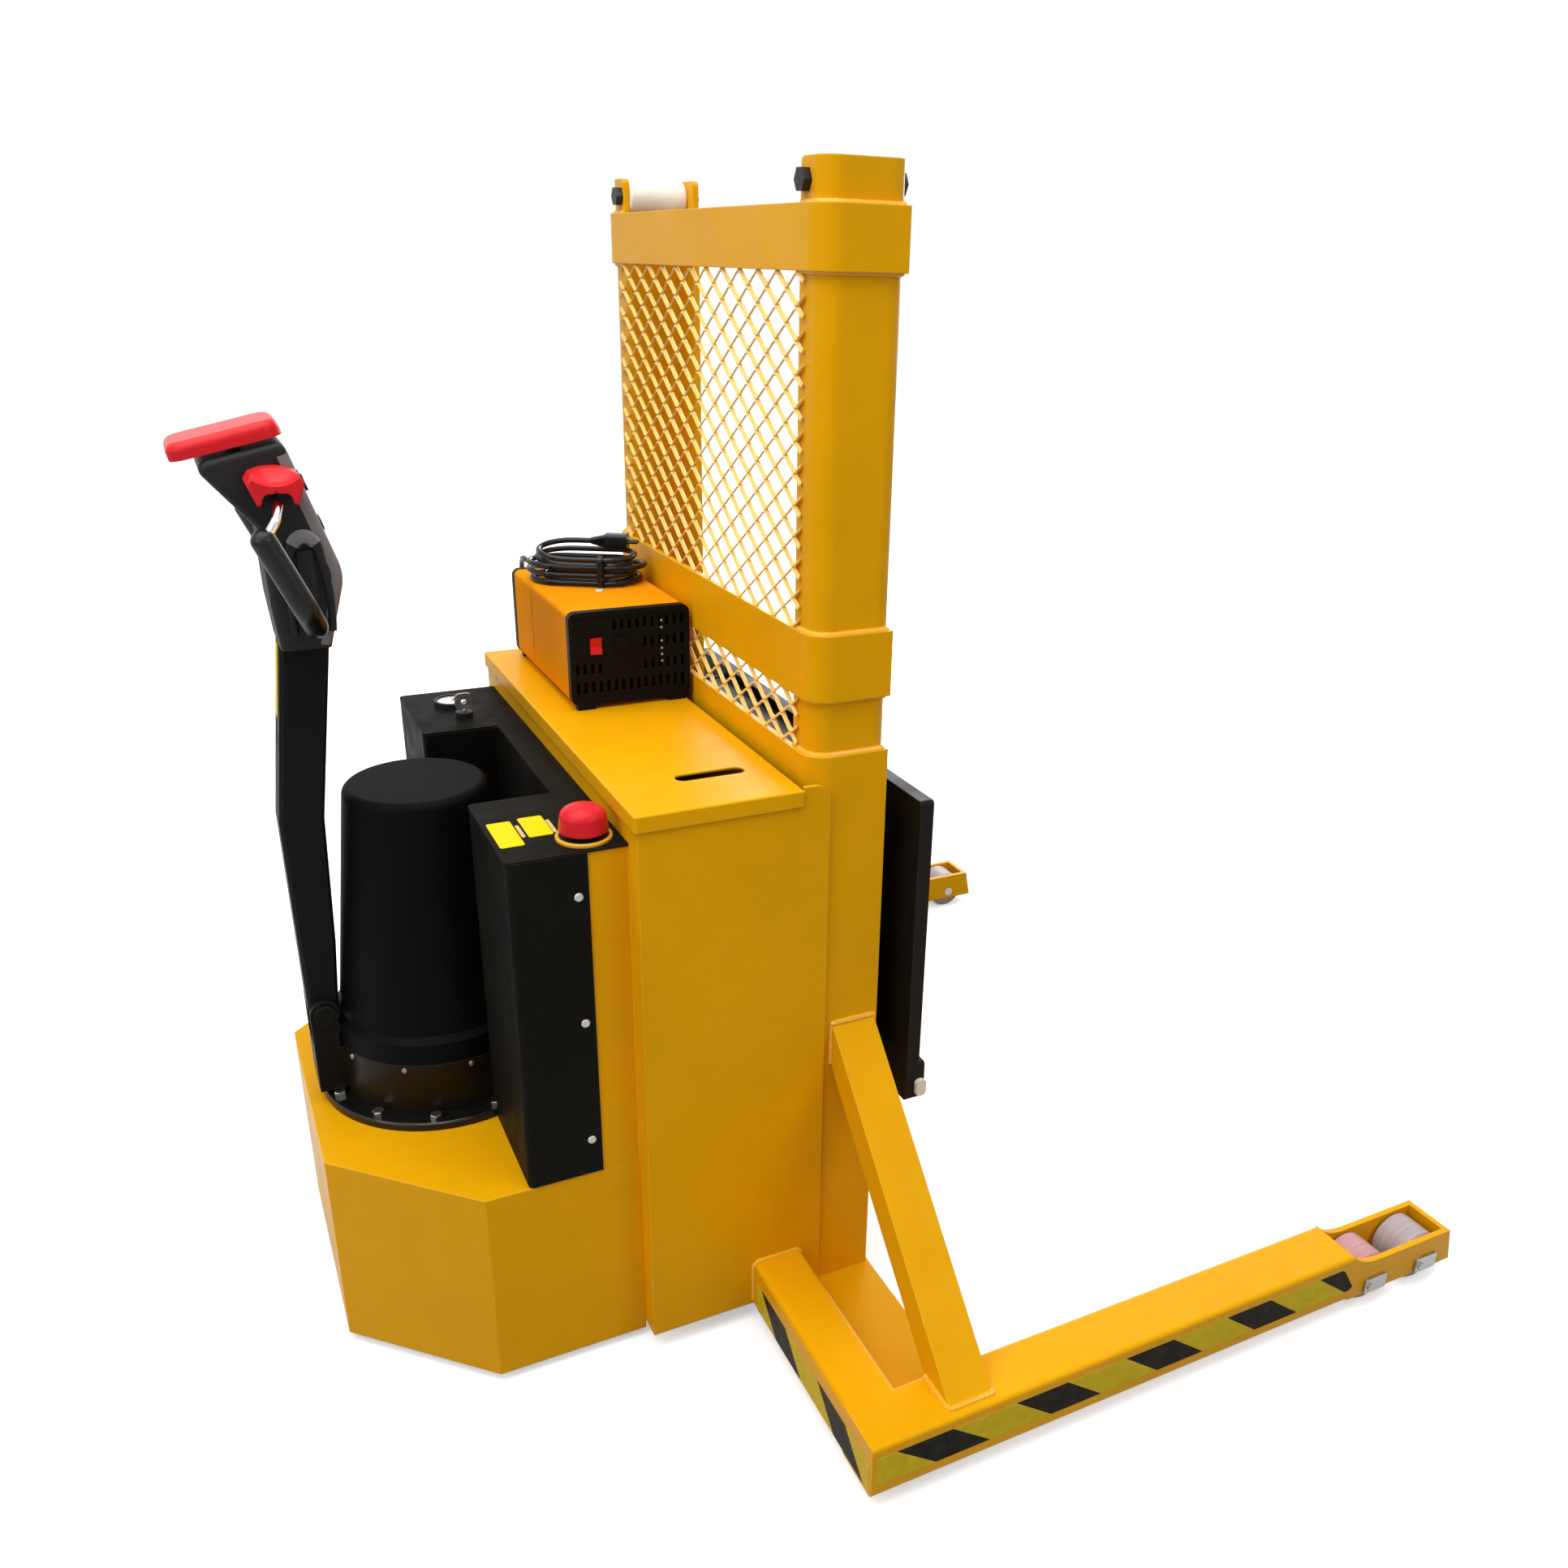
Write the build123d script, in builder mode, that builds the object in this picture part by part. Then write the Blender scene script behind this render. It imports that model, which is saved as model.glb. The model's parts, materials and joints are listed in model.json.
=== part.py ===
from build123d import *
import math
import os

os.makedirs("parts", exist_ok=True)

# Overall sizes of the machine, in millimetres: X forward, Y left, Z up, floor at zero
overall_length = 1625.0
straddle_width = 1510.0
mast_height = 1556.0

# Fits: shaft in bore, faces that slide past each other, pieces that rest on each other
running_gap = 0.05
slide_gap = 0.5
rest_gap = 0.3

# Straddle legs, outrigger beams and tandem load rollers
leg_section = 80.0
leg_wall = 6.0
leg_corner = 6.0
beam_corner = 8.0
ground_gap = 25.0
beam_depth = 75.0
load_roller_diameter = 82.0
load_roller_space = 26.0
cheek_plate = 9.0
roller_side_gap = 3.0
roller_clear = 5.0
nose_plate = 9.0
nose_slant = 12.0
cheek_top = 83.0
cheek_dip = 60.0
cap_plate = 6.0
axle_diameter = 20.0
keeper_length = 44.0
keeper_height = 26.0
keeper_plate = 5.0
foot_plate = 8.0
brace_width = 65.0
brace_wall = 6.0

# Mast: bent uprights, bands round their backs, mesh guard, stop rollers
mast_half = 380.0
mast_rear = 78.0
mast_front = 194.0
band_plate = 8.0
band_corner = 32.0
upright_plate = 9.0
upright_corner = 24.0
rear_flange = 60.0
front_flange = 90.0
top_band_drop = 47.0
top_band_height = 70.0
mid_band_bottom = 942.0
mid_band_height = 85.0
shroud_top = 870.0
mesh_plate = 3.0
mesh_lap = 18.0
mesh_pitch_y = 57.0
mesh_pitch_z = 37.5
mesh_strand = 5.5
stop_roller_diameter = 48.0
stop_roller_inset = 53.0
stop_bolt_diameter = 16.0

# Carriage and lift ram
carriage_overhang = 25.0
carriage_plate_gap = 36.0
carriage_thickness = 20.0
carriage_bottom = 330.0
carriage_bar_height = 60.0
carriage_bar_depth = 10.0
carriage_cheek = 12.0
guide_width = 32.0
guide_axle_diameter = 30.0
attachment_pitch_y = 500.0
attachment_pitch_z = 250.0
attachment_hole = 18.0
barrel_diameter = 70.0
barrel_wall = 7.5
rod_diameter = 45.0
barrel_base = 22.0
piston_length = 42.0
gland_length = 22.0
rod_nose = 15.0
lift_top_room = 113.0

# Battery box, lid and the cabinet behind the box
box_plate = 6.0
box_rear = -154.0
box_front = 106.0
box_floor = 30.0
box_top = 831.0
box_ear_height = 6.0
lid_plate = 3.0
lid_lip = 22.0
lid_side_gap = 1.0
lid_front = 66.0
hand_slot_length = 96.0
hand_slot_width = 24.0
battery_height = 600.0
cabinet_inset = 30.0
cabinet_plate = 4.0
cabinet_depth = 96.0
console_top = 785.0
console_plate = 3.0
cover_sheet = 2.5
cover_rear = -305.0
cover_front = -206.0

# Drive base, steered drive unit and its cover
base_bottom = 15.0
base_top = 311.0
base_wall = 8.0
base_deck = 10.0
base_shoulder = -365.0
base_rim = 21.0
base_tail_half = 180.0
turntable_gap = 17.0
ring_radius = 146.0
ring_top = 400.0
ring_wall = 41.0
neck_step = 21.0
flange_overhang = 29.0
flange_plate = 12.0
flange_bolt_inset = 15.0
flange_bolts_count = 12
motor_cover_top = 772.0
motor_cover_top_radius = 97.0
motor_cover_sheet = 4.0
drive_wheel_diameter = 230.0
drive_wheel_width = 75.0
drive_axle_diameter = 40.0

# Tiller, its head and its controls
pivot_clear = 14.0
head_overhang = 84.0
pivot_height = 455.0
arm_half = 28.0
eye_radius = 20.0
pivot_pin_diameter = 20.0
ear_plate = 10.0
head_half = 58.0
belly_travel = 5.0
throttle_shaft_diameter = 12.0
throttle_swing = 16.0
wing_inner = 60.0
wing_outer = 116.0
grip_diameter = 30.0
grip_rod_diameter = 11.0

# Charger with its coiled mains cord
charger_length = 325.0
charger_width = 180.0
charger_height = 136.0
charger_right = 25.0
charger_mid = -20.0
charger_sheet = 2.0
charger_corner = 9.0
charger_foot = 8.0
bezel_depth = 14.0
cord_diameter = 8.5
coil_half_run = 36.0
coil_radius = 57.0
coil_half_turns = 3
coil_angle = -29.0
coil_mast_gap = 3.0
plug_length = 58.0
plug_half = 12.0

# Places that follow from the sizes above
front_x = overall_length / 2
rear_x = -overall_length / 2
flange_radius = ring_radius + flange_overhang
flange_bolt_circle = flange_radius - flange_bolt_inset
neck_radius = ring_radius - neck_step
pivot_x = rear_x + head_overhang
steer_x = pivot_x + ring_radius + pivot_clear
base_tail_x = steer_x - flange_radius - base_rim
box_rear_x = steer_x + flange_radius + turntable_gap
beam_x = box_rear_x - box_rear
beam_front_x = beam_x + beam_depth
leg_y = straddle_width / 2 - leg_section / 2
leg_inner_y = straddle_width / 2 - leg_section
leg_mid_z = ground_gap + leg_section / 2
leg_top_z = ground_gap + leg_section
load_roller_r = load_roller_diameter / 2
load_roller_width = leg_section - 2 * cheek_plate - 2 * roller_side_gap
axle_r = axle_diameter / 2
front_axle_x = front_x - nose_plate - 0.4 * nose_slant - roller_clear - load_roller_r
rear_axle_x = front_axle_x - load_roller_diameter - load_roller_space
leg_end_x = rear_axle_x - load_roller_r - roller_clear - cap_plate
mast_rear_x = beam_x + mast_rear
mast_front_x = beam_x + mast_front
mast_bottom_z = ground_gap + foot_plate
upright_rear_x = mast_rear_x + band_plate
upright_half = mast_half - band_plate
rear_flange_edge = upright_half - rear_flange
front_flange_edge = upright_half - front_flange
mesh_half = rear_flange_edge + mesh_lap
stop_roller_y = mast_half - stop_roller_inset
carriage_half = mast_half + carriage_overhang
box_half = mast_half + box_plate
hand_slot_y = 0.745 * box_half
cabinet_half = mast_half - cabinet_inset
sides = (("left", 1), ("right", -1))


def across(y):
    """Upright plane facing the right side, at a distance y left of the middle."""
    return Plane.XZ.offset(-y)


def facing(x):
    """Upright plane facing forward at station x."""
    return Plane.YZ.offset(x)


def level(z):
    """Level plane at height z."""
    return Plane.XY.offset(z)


# Straddle legs: square tube, outrigger beam to the box and an open wheel box at the tip
for side, sign in sides:
    with BuildPart() as leg:
        with BuildSketch(facing(beam_x)):
            with Locations((sign * leg_y, leg_mid_z)):
                RectangleRounded(leg_section, leg_section, leg_corner)
        extrude(amount=leg_end_x - beam_x)
        with BuildSketch(across(sign * box_half)):
            with Locations((beam_x + beam_depth / 2, leg_mid_z)):
                RectangleRounded(beam_depth, leg_section, beam_corner)
        extrude(amount=-sign * (leg_y - box_half))
        with BuildSketch(facing(beam_x + leg_wall)):
            with Locations((sign * leg_y, leg_mid_z)):
                Rectangle(leg_section - 2 * leg_wall, leg_section - 2 * leg_wall)
        extrude(amount=leg_end_x - beam_x - leg_wall - cap_plate, mode=Mode.SUBTRACT)
        with BuildSketch(across(sign * (box_half + leg_wall))):
            with Locations((beam_x + beam_depth / 2, leg_mid_z)):
                Rectangle(beam_depth - 2 * leg_wall, leg_section - 2 * leg_wall)
        extrude(amount=-sign * (leg_y - box_half - leg_wall), mode=Mode.SUBTRACT)
        with BuildSketch(across(sign * leg_y)):
            with BuildLine():
                foot_line = Polyline(
                    (leg_end_x, leg_top_z),
                    (leg_end_x, ground_gap),
                    (front_x, ground_gap),
                    (front_x - nose_slant, cheek_top),
                    (leg_end_x + cheek_dip, cheek_top),
                )
                Bezier(foot_line @ 1, (leg_end_x + cheek_dip / 3, cheek_top), foot_line @ 0)
            make_face()
        extrude(amount=leg_section / 2, both=True)
        with BuildSketch(across(sign * leg_y)):
            with BuildLine():
                Polyline(
                    (leg_end_x, leg_top_z + 1),
                    (leg_end_x, ground_gap - 1),
                    (front_x - nose_plate, ground_gap - 1),
                    (front_x - nose_plate - nose_slant, cheek_top),
                    (front_x - nose_plate - nose_slant, leg_top_z + 1),
                    close=True,
                )
            make_face()
        extrude(amount=leg_section / 2 - cheek_plate, both=True, mode=Mode.SUBTRACT)
        with BuildSketch(across(sign * leg_y)):
            with Locations((front_axle_x, load_roller_r), (rear_axle_x, load_roller_r)):
                Circle(axle_r + running_gap)
        extrude(amount=leg_section / 2 + 1, both=True, mode=Mode.SUBTRACT)
    leg.part.label = "leg_" + side
    export_step(leg.part, "parts/leg_" + side + ".step")

# Load roller axles with their flag plates and plate screws
with BuildPart() as wheel_axles:
    for side, sign in sides:
        for axle_x in (front_axle_x, rear_axle_x):
            with BuildSketch(across(sign * leg_inner_y)):
                with Locations((axle_x, load_roller_r)):
                    Circle(axle_r)
            extrude(amount=-sign * (leg_section + keeper_plate / 2))
            with BuildSketch(across(sign * straddle_width / 2)):
                with Locations((axle_x, load_roller_r)):
                    RectangleRounded(keeper_length, keeper_height, 3)
            extrude(amount=-sign * keeper_plate)
            with BuildSketch(across(sign * (straddle_width / 2 + keeper_plate))):
                with Locations((axle_x - keeper_length / 3.2, load_roller_r)):
                    RegularPolygon(6, 6)
            extrude(amount=-sign * 4)
wheel_axles.part.label = "wheel_axles"
export_step(wheel_axles.part, "parts/wheel_axles.step")

# Load rollers with chamfered treads, turning on the axles
for end, axle_x in (("front", front_axle_x), ("rear", rear_axle_x)):
    for side, sign in sides:
        with BuildPart() as load_roller:
            with BuildSketch(across(sign * leg_y)):
                with Locations((axle_x, load_roller_r)):
                    Circle(load_roller_r)
                    Circle(axle_r + running_gap, mode=Mode.SUBTRACT)
            extrude(amount=load_roller_width / 2, both=True)
            treads = load_roller.edges().filter_by(GeomType.CIRCLE).sort_by(SortBy.RADIUS)[-2:]
            chamfer(treads, 3)
        roller_name = "load_roller_" + end + "_" + side
        load_roller.part.label = roller_name
        export_step(load_roller.part, "parts/" + roller_name + ".step")

# Foot plate between the legs under the mast
with BuildPart() as mast_foot_plate:
    with BuildSketch(level(ground_gap)):
        with Locations(((beam_front_x + mast_front_x) / 2, 0)):
            Rectangle(mast_front_x - beam_front_x, 2 * leg_inner_y)
    extrude(amount=foot_plate)
mast_foot_plate.part.label = "mast_foot_plate"
export_step(mast_foot_plate.part, "parts/mast_foot_plate.step")

# Slanted braces from the shroud sides down to the legs
brace_x = (mast_rear_x + band_corner + mast_front_x) / 2
brace_rise = 1.03 * (leg_y + leg_section * 0.31 - mast_half)
with BuildPart() as braces:
    for side, sign in sides:
        with BuildSketch(facing(brace_x - brace_width / 2)) as brace_outline:
            with BuildLine():
                Polyline(
                    (sign * (leg_y + leg_section * 0.31), leg_top_z),
                    (sign * mast_half, leg_top_z + brace_rise),
                    (sign * mast_half, leg_top_z + brace_rise * 0.82),
                    (sign * leg_inner_y, leg_top_z),
                    close=True,
                )
            make_face()
        extrude(amount=brace_width)
        with BuildSketch(facing(brace_x - brace_width / 2 + brace_wall)):
            add(brace_outline.sketch_local)
            offset(amount=-brace_wall, mode=Mode.REPLACE)
        extrude(amount=brace_width - 2 * brace_wall, mode=Mode.SUBTRACT)
braces.part.label = "braces"
export_step(braces.part, "parts/braces.step")

# Mast uprights: bent channels open toward each other, bored at the top for the stop bolts
stop_z = mast_height - stop_roller_diameter / 2
for side, sign in sides:
    with BuildPart() as upright:
        with BuildSketch(level(mast_bottom_z)):
            with BuildLine():
                half_plate = upright_plate / 2
                FilletPolyline(
                    (upright_rear_x + half_plate, sign * rear_flange_edge),
                    (upright_rear_x + half_plate, sign * (upright_half - half_plate)),
                    (mast_front_x - half_plate, sign * (upright_half - half_plate)),
                    (mast_front_x - half_plate, sign * front_flange_edge),
                    radius=upright_corner - half_plate,
                )
            trace(line_width=upright_plate)
        extrude(amount=mast_height - mast_bottom_z)
        with BuildSketch(facing(upright_rear_x - 1)):
            with Locations((sign * stop_roller_y, stop_z)):
                Circle(stop_bolt_diameter / 2 + running_gap)
        extrude(amount=mast_front_x - upright_rear_x + 2, mode=Mode.SUBTRACT)
        top_edges = upright.edges().filter_by(Axis.X).group_by(Axis.Z)[-1]
        flange_tips = [edge for edge in top_edges if edge.length < upright_plate + 1]
        fillet(flange_tips, 8)
    upright.part.label = "mast_upright_" + side
    export_step(upright.part, "parts/mast_upright_" + side + ".step")


# Top and middle bands and the lower shroud: plate bent round the backs of both uprights
top_band_bottom = mast_height - top_band_drop - top_band_height
wraps = {
    "mast_bands": ((top_band_bottom, top_band_height), (mid_band_bottom, mid_band_height)),
    "mast_lower_shroud": ((mast_bottom_z, shroud_top - mast_bottom_z),),
}
for wrap_name, stretches in wraps.items():
    with BuildPart() as wrap:
        for bottom, height in stretches:
            with BuildSketch(level(bottom)):
                with BuildLine():
                    middle = band_plate / 2
                    FilletPolyline(
                        (mast_front_x - 4, mast_half - middle),
                        (mast_rear_x + middle, mast_half - middle),
                        (mast_rear_x + middle, middle - mast_half),
                        (mast_front_x - 4, middle - mast_half),
                        radius=band_corner - middle,
                    )
                trace(line_width=band_plate)
            extrude(amount=height)
    wrap.part.label = wrap_name
    export_step(wrap.part, "parts/" + wrap_name + ".step")

# Mesh guard: diamond gaps in one sheet above the middle band and one below it
mesh_side = math.hypot(mesh_pitch_y / 2, mesh_pitch_z / 2)
mesh_scale = 1 - mesh_strand * mesh_side / (mesh_pitch_y * mesh_pitch_z / 2)
gap_y = mesh_scale * mesh_pitch_y / 2
gap_z = mesh_scale * mesh_pitch_z / 2
with BuildPart() as mast_mesh:
    for bottom, top in ((shroud_top, mid_band_bottom), (mid_band_bottom + mid_band_height, top_band_bottom)):
        centre_z = (bottom + top) / 2
        rows = math.ceil((top - bottom) / mesh_pitch_z) + 1
        columns = math.ceil(2 * mesh_half / mesh_pitch_y) + 1
        spots = []
        for row in range(-rows, rows + 1):
            for column in range(-columns, columns + 1):
                spot_y = column * mesh_pitch_y / 2
                spot_z = row * mesh_pitch_z / 2
                inside = abs(spot_y) < mesh_half - 1 and abs(spot_z) < (top - bottom) / 2 - 1
                if (row + column) % 2 == 0 and inside:
                    spots.append((spot_y, centre_z + spot_z))
        with BuildSketch(facing(upright_rear_x - mesh_plate)):
            with Locations((0, centre_z)):
                Rectangle(2 * mesh_half, top - bottom)
            with Locations(*spots):
                Polygon((gap_y, 0), (0, gap_z), (-gap_y, 0), (0, -gap_z), mode=Mode.SUBTRACT)
        extrude(amount=mesh_plate)
mast_mesh.part.label = "mast_mesh"
export_step(mast_mesh.part, "parts/mast_mesh.step")

# Stop rollers at the top of the uprights, on bolts through both flanges
channel_gap = mast_front_x - upright_rear_x - 2 * upright_plate
for side, sign in sides:
    with BuildPart() as stop_roller:
        with BuildSketch(facing(upright_rear_x + upright_plate + slide_gap)):
            with Locations((sign * stop_roller_y, stop_z)):
                Circle(stop_roller_diameter / 2)
                Circle(stop_bolt_diameter / 2 + 2 * running_gap, mode=Mode.SUBTRACT)
        extrude(amount=channel_gap - 2 * slide_gap)
        rims = stop_roller.edges().filter_by(GeomType.CIRCLE).sort_by(SortBy.RADIUS)[-2:]
        chamfer(rims, 2)
    stop_roller.part.label = "stop_roller_" + side
    export_step(stop_roller.part, "parts/stop_roller_" + side + ".step")

with BuildPart() as stop_bolts:
    for side, sign in sides:
        with BuildSketch(facing(upright_rear_x - 10)):
            with Locations((sign * stop_roller_y, stop_z)):
                RegularPolygon(stop_bolt_diameter * 0.85, 6)
        extrude(amount=10)
        with BuildSketch(facing(upright_rear_x)):
            with Locations((sign * stop_roller_y, stop_z)):
                Circle(stop_bolt_diameter / 2)
        extrude(amount=mast_front_x - upright_rear_x)
        with BuildSketch(facing(mast_front_x)):
            with Locations((sign * stop_roller_y, stop_z)):
                RegularPolygon(stop_bolt_diameter * 0.85, 6)
        extrude(amount=13)
stop_bolts.part.label = "stop_bolts"
export_step(stop_bolts.part, "parts/stop_bolts.step")

# Lift ram: barrel with a bored base and gland, standing on the foot plate
ram_x = (upright_rear_x + mast_front_x) / 2
rod_r = rod_diameter / 2
bore_r = barrel_diameter / 2 - barrel_wall
guide_r = channel_gap / 2 - slide_gap / 2
dead_length = barrel_base + piston_length + gland_length + rod_nose
lift_stroke = (mast_height - stop_roller_diameter - lift_top_room - mast_bottom_z - dead_length) / 2
lift_stroke = round(lift_stroke - guide_r / 2 + 10)
barrel_top_z = mast_bottom_z + barrel_base + piston_length + lift_stroke + gland_length
crossbar_z = barrel_top_z + rod_nose
piston_z = mast_bottom_z + barrel_base
with BuildPart() as lift_cylinder:
    with BuildSketch(across(0)):
        with BuildLine():
            Polyline(
                (ram_x, mast_bottom_z),
                (ram_x + barrel_diameter / 2 + 8, mast_bottom_z),
                (ram_x + barrel_diameter / 2 + 8, mast_bottom_z + barrel_base / 2),
                (ram_x + barrel_diameter / 2, mast_bottom_z + barrel_base / 2),
                (ram_x + barrel_diameter / 2, barrel_top_z - gland_length),
                (ram_x + barrel_diameter / 2 + 4, barrel_top_z - gland_length),
                (ram_x + barrel_diameter / 2 + 4, barrel_top_z - 3),
                (ram_x + barrel_diameter / 2 + 1, barrel_top_z),
                (ram_x + rod_r + running_gap, barrel_top_z),
                (ram_x + rod_r + running_gap, barrel_top_z - gland_length),
                (ram_x + bore_r, barrel_top_z - gland_length),
                (ram_x + bore_r, piston_z - slide_gap),
                (ram_x, piston_z - slide_gap),
                close=True,
            )
        make_face()
    revolve(axis=Axis((ram_x, 0, 0), (0, 0, 1)))
lift_cylinder.part.label = "lift_cylinder"
export_step(lift_cylinder.part, "parts/lift_cylinder.step")

# Lift rod with its piston, carrying the crossbar of the carriage
with BuildPart() as lift_rod:
    with BuildSketch(level(piston_z)):
        with Locations((ram_x, 0)):
            Circle(bore_r - running_gap)
    extrude(amount=piston_length - slide_gap)
    with BuildSketch(level(piston_z + piston_length - slide_gap)):
        with Locations((ram_x, 0)):
            Circle(rod_r)
    extrude(amount=crossbar_z - piston_z - piston_length + slide_gap)
lift_rod.part.label = "lift_rod"
export_step(lift_rod.part, "parts/lift_rod.step")

# Carriage frame: two cheeks between the uprights, crossbars and stub axles for the guide rollers
plate_x = mast_front_x + carriage_plate_gap
cheek_out = front_flange_edge - 2
cheek_y = cheek_out - carriage_cheek
carriage_top = crossbar_z + 46
upper_guide_z = crossbar_z - 16
lower_guide_z = carriage_bottom + 70
guide_axle_r = guide_axle_diameter / 2
guide_inner_y = rear_flange_edge + 4
with BuildPart() as carriage_frame:
    with BuildSketch(across(0)) as cheek_outline:
        with BuildLine():
            FilletPolyline(
                (plate_x, carriage_bottom + 12),
                (ram_x - guide_axle_r - 14, lower_guide_z - 34),
                (ram_x - guide_axle_r - 14, carriage_top - 14),
                (plate_x, carriage_top - 14),
                radius=12,
                close=False,
            )
            Line((plate_x, carriage_top - 14), (plate_x, carriage_bottom + 12))
        make_face()
        with Locations(((ram_x + plate_x) / 2, (upper_guide_z + lower_guide_z) / 2)):
            SlotOverall((upper_guide_z - lower_guide_z) * 0.5, 44, rotation=90, mode=Mode.SUBTRACT)
    extrude(amount=cheek_out, both=True)
    with BuildSketch(level(0)):
        with Locations(((ram_x + plate_x) / 2 - 60, 0)):
            Rectangle(plate_x - ram_x + 180, 2 * cheek_y)
    extrude(amount=mast_height, mode=Mode.SUBTRACT)
    with BuildSketch(level(crossbar_z)):
        with Locations(((ram_x - guide_axle_r - 10 + plate_x) / 2, 0)):
            Rectangle(plate_x - ram_x + guide_axle_r + 10, 2 * cheek_y)
    extrude(amount=30)
    with BuildSketch(facing(plate_x - 24)):
        with Locations((0, carriage_bottom + 60)):
            Rectangle(2 * cheek_y, 80)
    extrude(amount=24)
    for side, sign in sides:
        with BuildSketch(across(sign * cheek_out)):
            with Locations((ram_x, upper_guide_z), (ram_x, lower_guide_z)):
                Circle(guide_axle_r + 5)
        extrude(amount=-sign * (guide_inner_y - 1 - cheek_out))
        with BuildSketch(across(sign * cheek_out)):
            with Locations((ram_x, upper_guide_z), (ram_x, lower_guide_z)):
                Circle(guide_axle_r)
        extrude(amount=-sign * (guide_inner_y + guide_width + 2 - cheek_out))
carriage_frame.part.label = "carriage_frame"
export_step(carriage_frame.part, "parts/carriage_frame.step")

# Guide rollers running in the channels of the uprights
for height, guide_z in (("upper", upper_guide_z), ("lower", lower_guide_z)):
    for side, sign in sides:
        with BuildPart() as guide_roller:
            with BuildSketch(across(sign * guide_inner_y)):
                with Locations((ram_x, guide_z)):
                    Circle(guide_r)
                    Circle(guide_axle_r + running_gap, mode=Mode.SUBTRACT)
            extrude(amount=-sign * guide_width)
            rims = guide_roller.edges().filter_by(GeomType.CIRCLE).sort_by(SortBy.RADIUS)[-2:]
            chamfer(rims, 2.5)
        guide_name = "guide_roller_" + height + "_" + side
        guide_roller.part.label = guide_name
        export_step(guide_roller.part, "parts/" + guide_name + ".step")

# Carriage plate with its lower bar and the bolt holes for the roll attachment
with BuildPart() as carriage_plate:
    plate_mid_z = (carriage_bottom + carriage_top) / 2
    with BuildSketch(facing(plate_x)):
        with Locations((0, plate_mid_z)):
            RectangleRounded(2 * carriage_half, carriage_top - carriage_bottom, 6)
    extrude(amount=carriage_thickness)
    with BuildSketch(facing(plate_x + carriage_thickness)):
        with Locations((0, carriage_bottom + carriage_bar_height / 2)):
            RectangleRounded(2 * carriage_half, carriage_bar_height, 6)
    extrude(amount=carriage_bar_depth)
    with BuildSketch(facing(plate_x)):
        with Locations((0, plate_mid_z)):
            with GridLocations(attachment_pitch_y, attachment_pitch_z, 2, 2):
                Circle(attachment_hole / 2)
    extrude(amount=carriage_thickness, mode=Mode.SUBTRACT)
carriage_plate.part.label = "carriage_plate"
export_step(carriage_plate.part, "parts/carriage_plate.step")

# Battery box: floor, rear wall, side plates that reach round the shroud, cabinet side plates
console_low = console_top - console_plate
with BuildPart() as battery_box:
    with BuildSketch(across(0)) as side_outline:
        with BuildLine():
            ear_front = beam_x + box_front
            Polyline(
                (box_rear_x, box_top),
                (box_rear_x, box_floor),
                (beam_front_x, box_floor),
                (beam_front_x, mast_bottom_z),
                (ear_front, mast_bottom_z),
                (ear_front, box_top + box_ear_height - 22),
            )
            RadiusArc(
                (ear_front, box_top + box_ear_height - 22),
                (ear_front - 22, box_top + box_ear_height),
                -22,
            )
            Polyline(
                (ear_front - 22, box_top + box_ear_height),
                (beam_x + lid_front + 3, box_top + box_ear_height),
                (beam_x + lid_front + 3, box_top),
                (box_rear_x, box_top),
            )
        make_face()
    extrude(amount=box_half, both=True)
    with BuildSketch(level(box_floor + box_plate)):
        with Locations((box_rear_x + box_plate + 400, 0)):
            Rectangle(800, 2 * (box_half - box_plate))
    extrude(amount=box_top, mode=Mode.SUBTRACT)
    with BuildSketch(level(0)):
        with Locations((mast_rear_x + 400, 0)):
            Rectangle(800, 2 * (box_half - box_plate))
    extrude(amount=box_top, mode=Mode.SUBTRACT)
    for side, sign in sides:
        with BuildSketch(level(base_top)):
            with Locations((box_rear_x - cabinet_depth / 2, sign * (cabinet_half - cabinet_plate / 2))):
                Rectangle(cabinet_depth, cabinet_plate)
        extrude(amount=console_low - base_top)
battery_box.part.label = "battery_box"
export_step(battery_box.part, "parts/battery_box.step")

# Battery lid: folded sheet with lips over the box edges and two hand slots
lid_bottom_z = box_top + rest_gap
lid_top_z = lid_bottom_z + lid_plate
lid_half = box_half + lid_side_gap + lid_plate
lid_rear_x = box_rear_x - lid_side_gap - lid_plate
lid_front_x = beam_x + lid_front
with BuildPart() as battery_lid:
    with BuildSketch(level(lid_top_z - lid_lip)):
        with Locations(((lid_rear_x + lid_front_x) / 2, 0)):
            Rectangle(lid_front_x - lid_rear_x, 2 * lid_half)
    extrude(amount=lid_lip)
    rear_posts = battery_lid.edges().filter_by(Axis.Z).group_by(Axis.X)[0]
    fillet(rear_posts, 5)
    brim = battery_lid.faces().sort_by(Axis.Z)[-1].edges().sort_by(Axis.X)[:-1]
    fillet(brim, 2.5)
    with BuildSketch(level(lid_top_z - lid_lip)):
        with Locations((lid_rear_x + lid_plate + 400, 0)):
            Rectangle(800, 2 * (lid_half - lid_plate))
    extrude(amount=lid_lip - lid_plate, mode=Mode.SUBTRACT)
    with BuildSketch(level(lid_bottom_z)):
        with Locations((beam_x - 21, hand_slot_y), (beam_x - 21, -hand_slot_y)):
            SlotOverall(hand_slot_length, hand_slot_width)
    extrude(amount=lid_plate, mode=Mode.SUBTRACT)
battery_lid.part.label = "battery_lid"
export_step(battery_lid.part, "parts/battery_lid.step")

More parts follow.
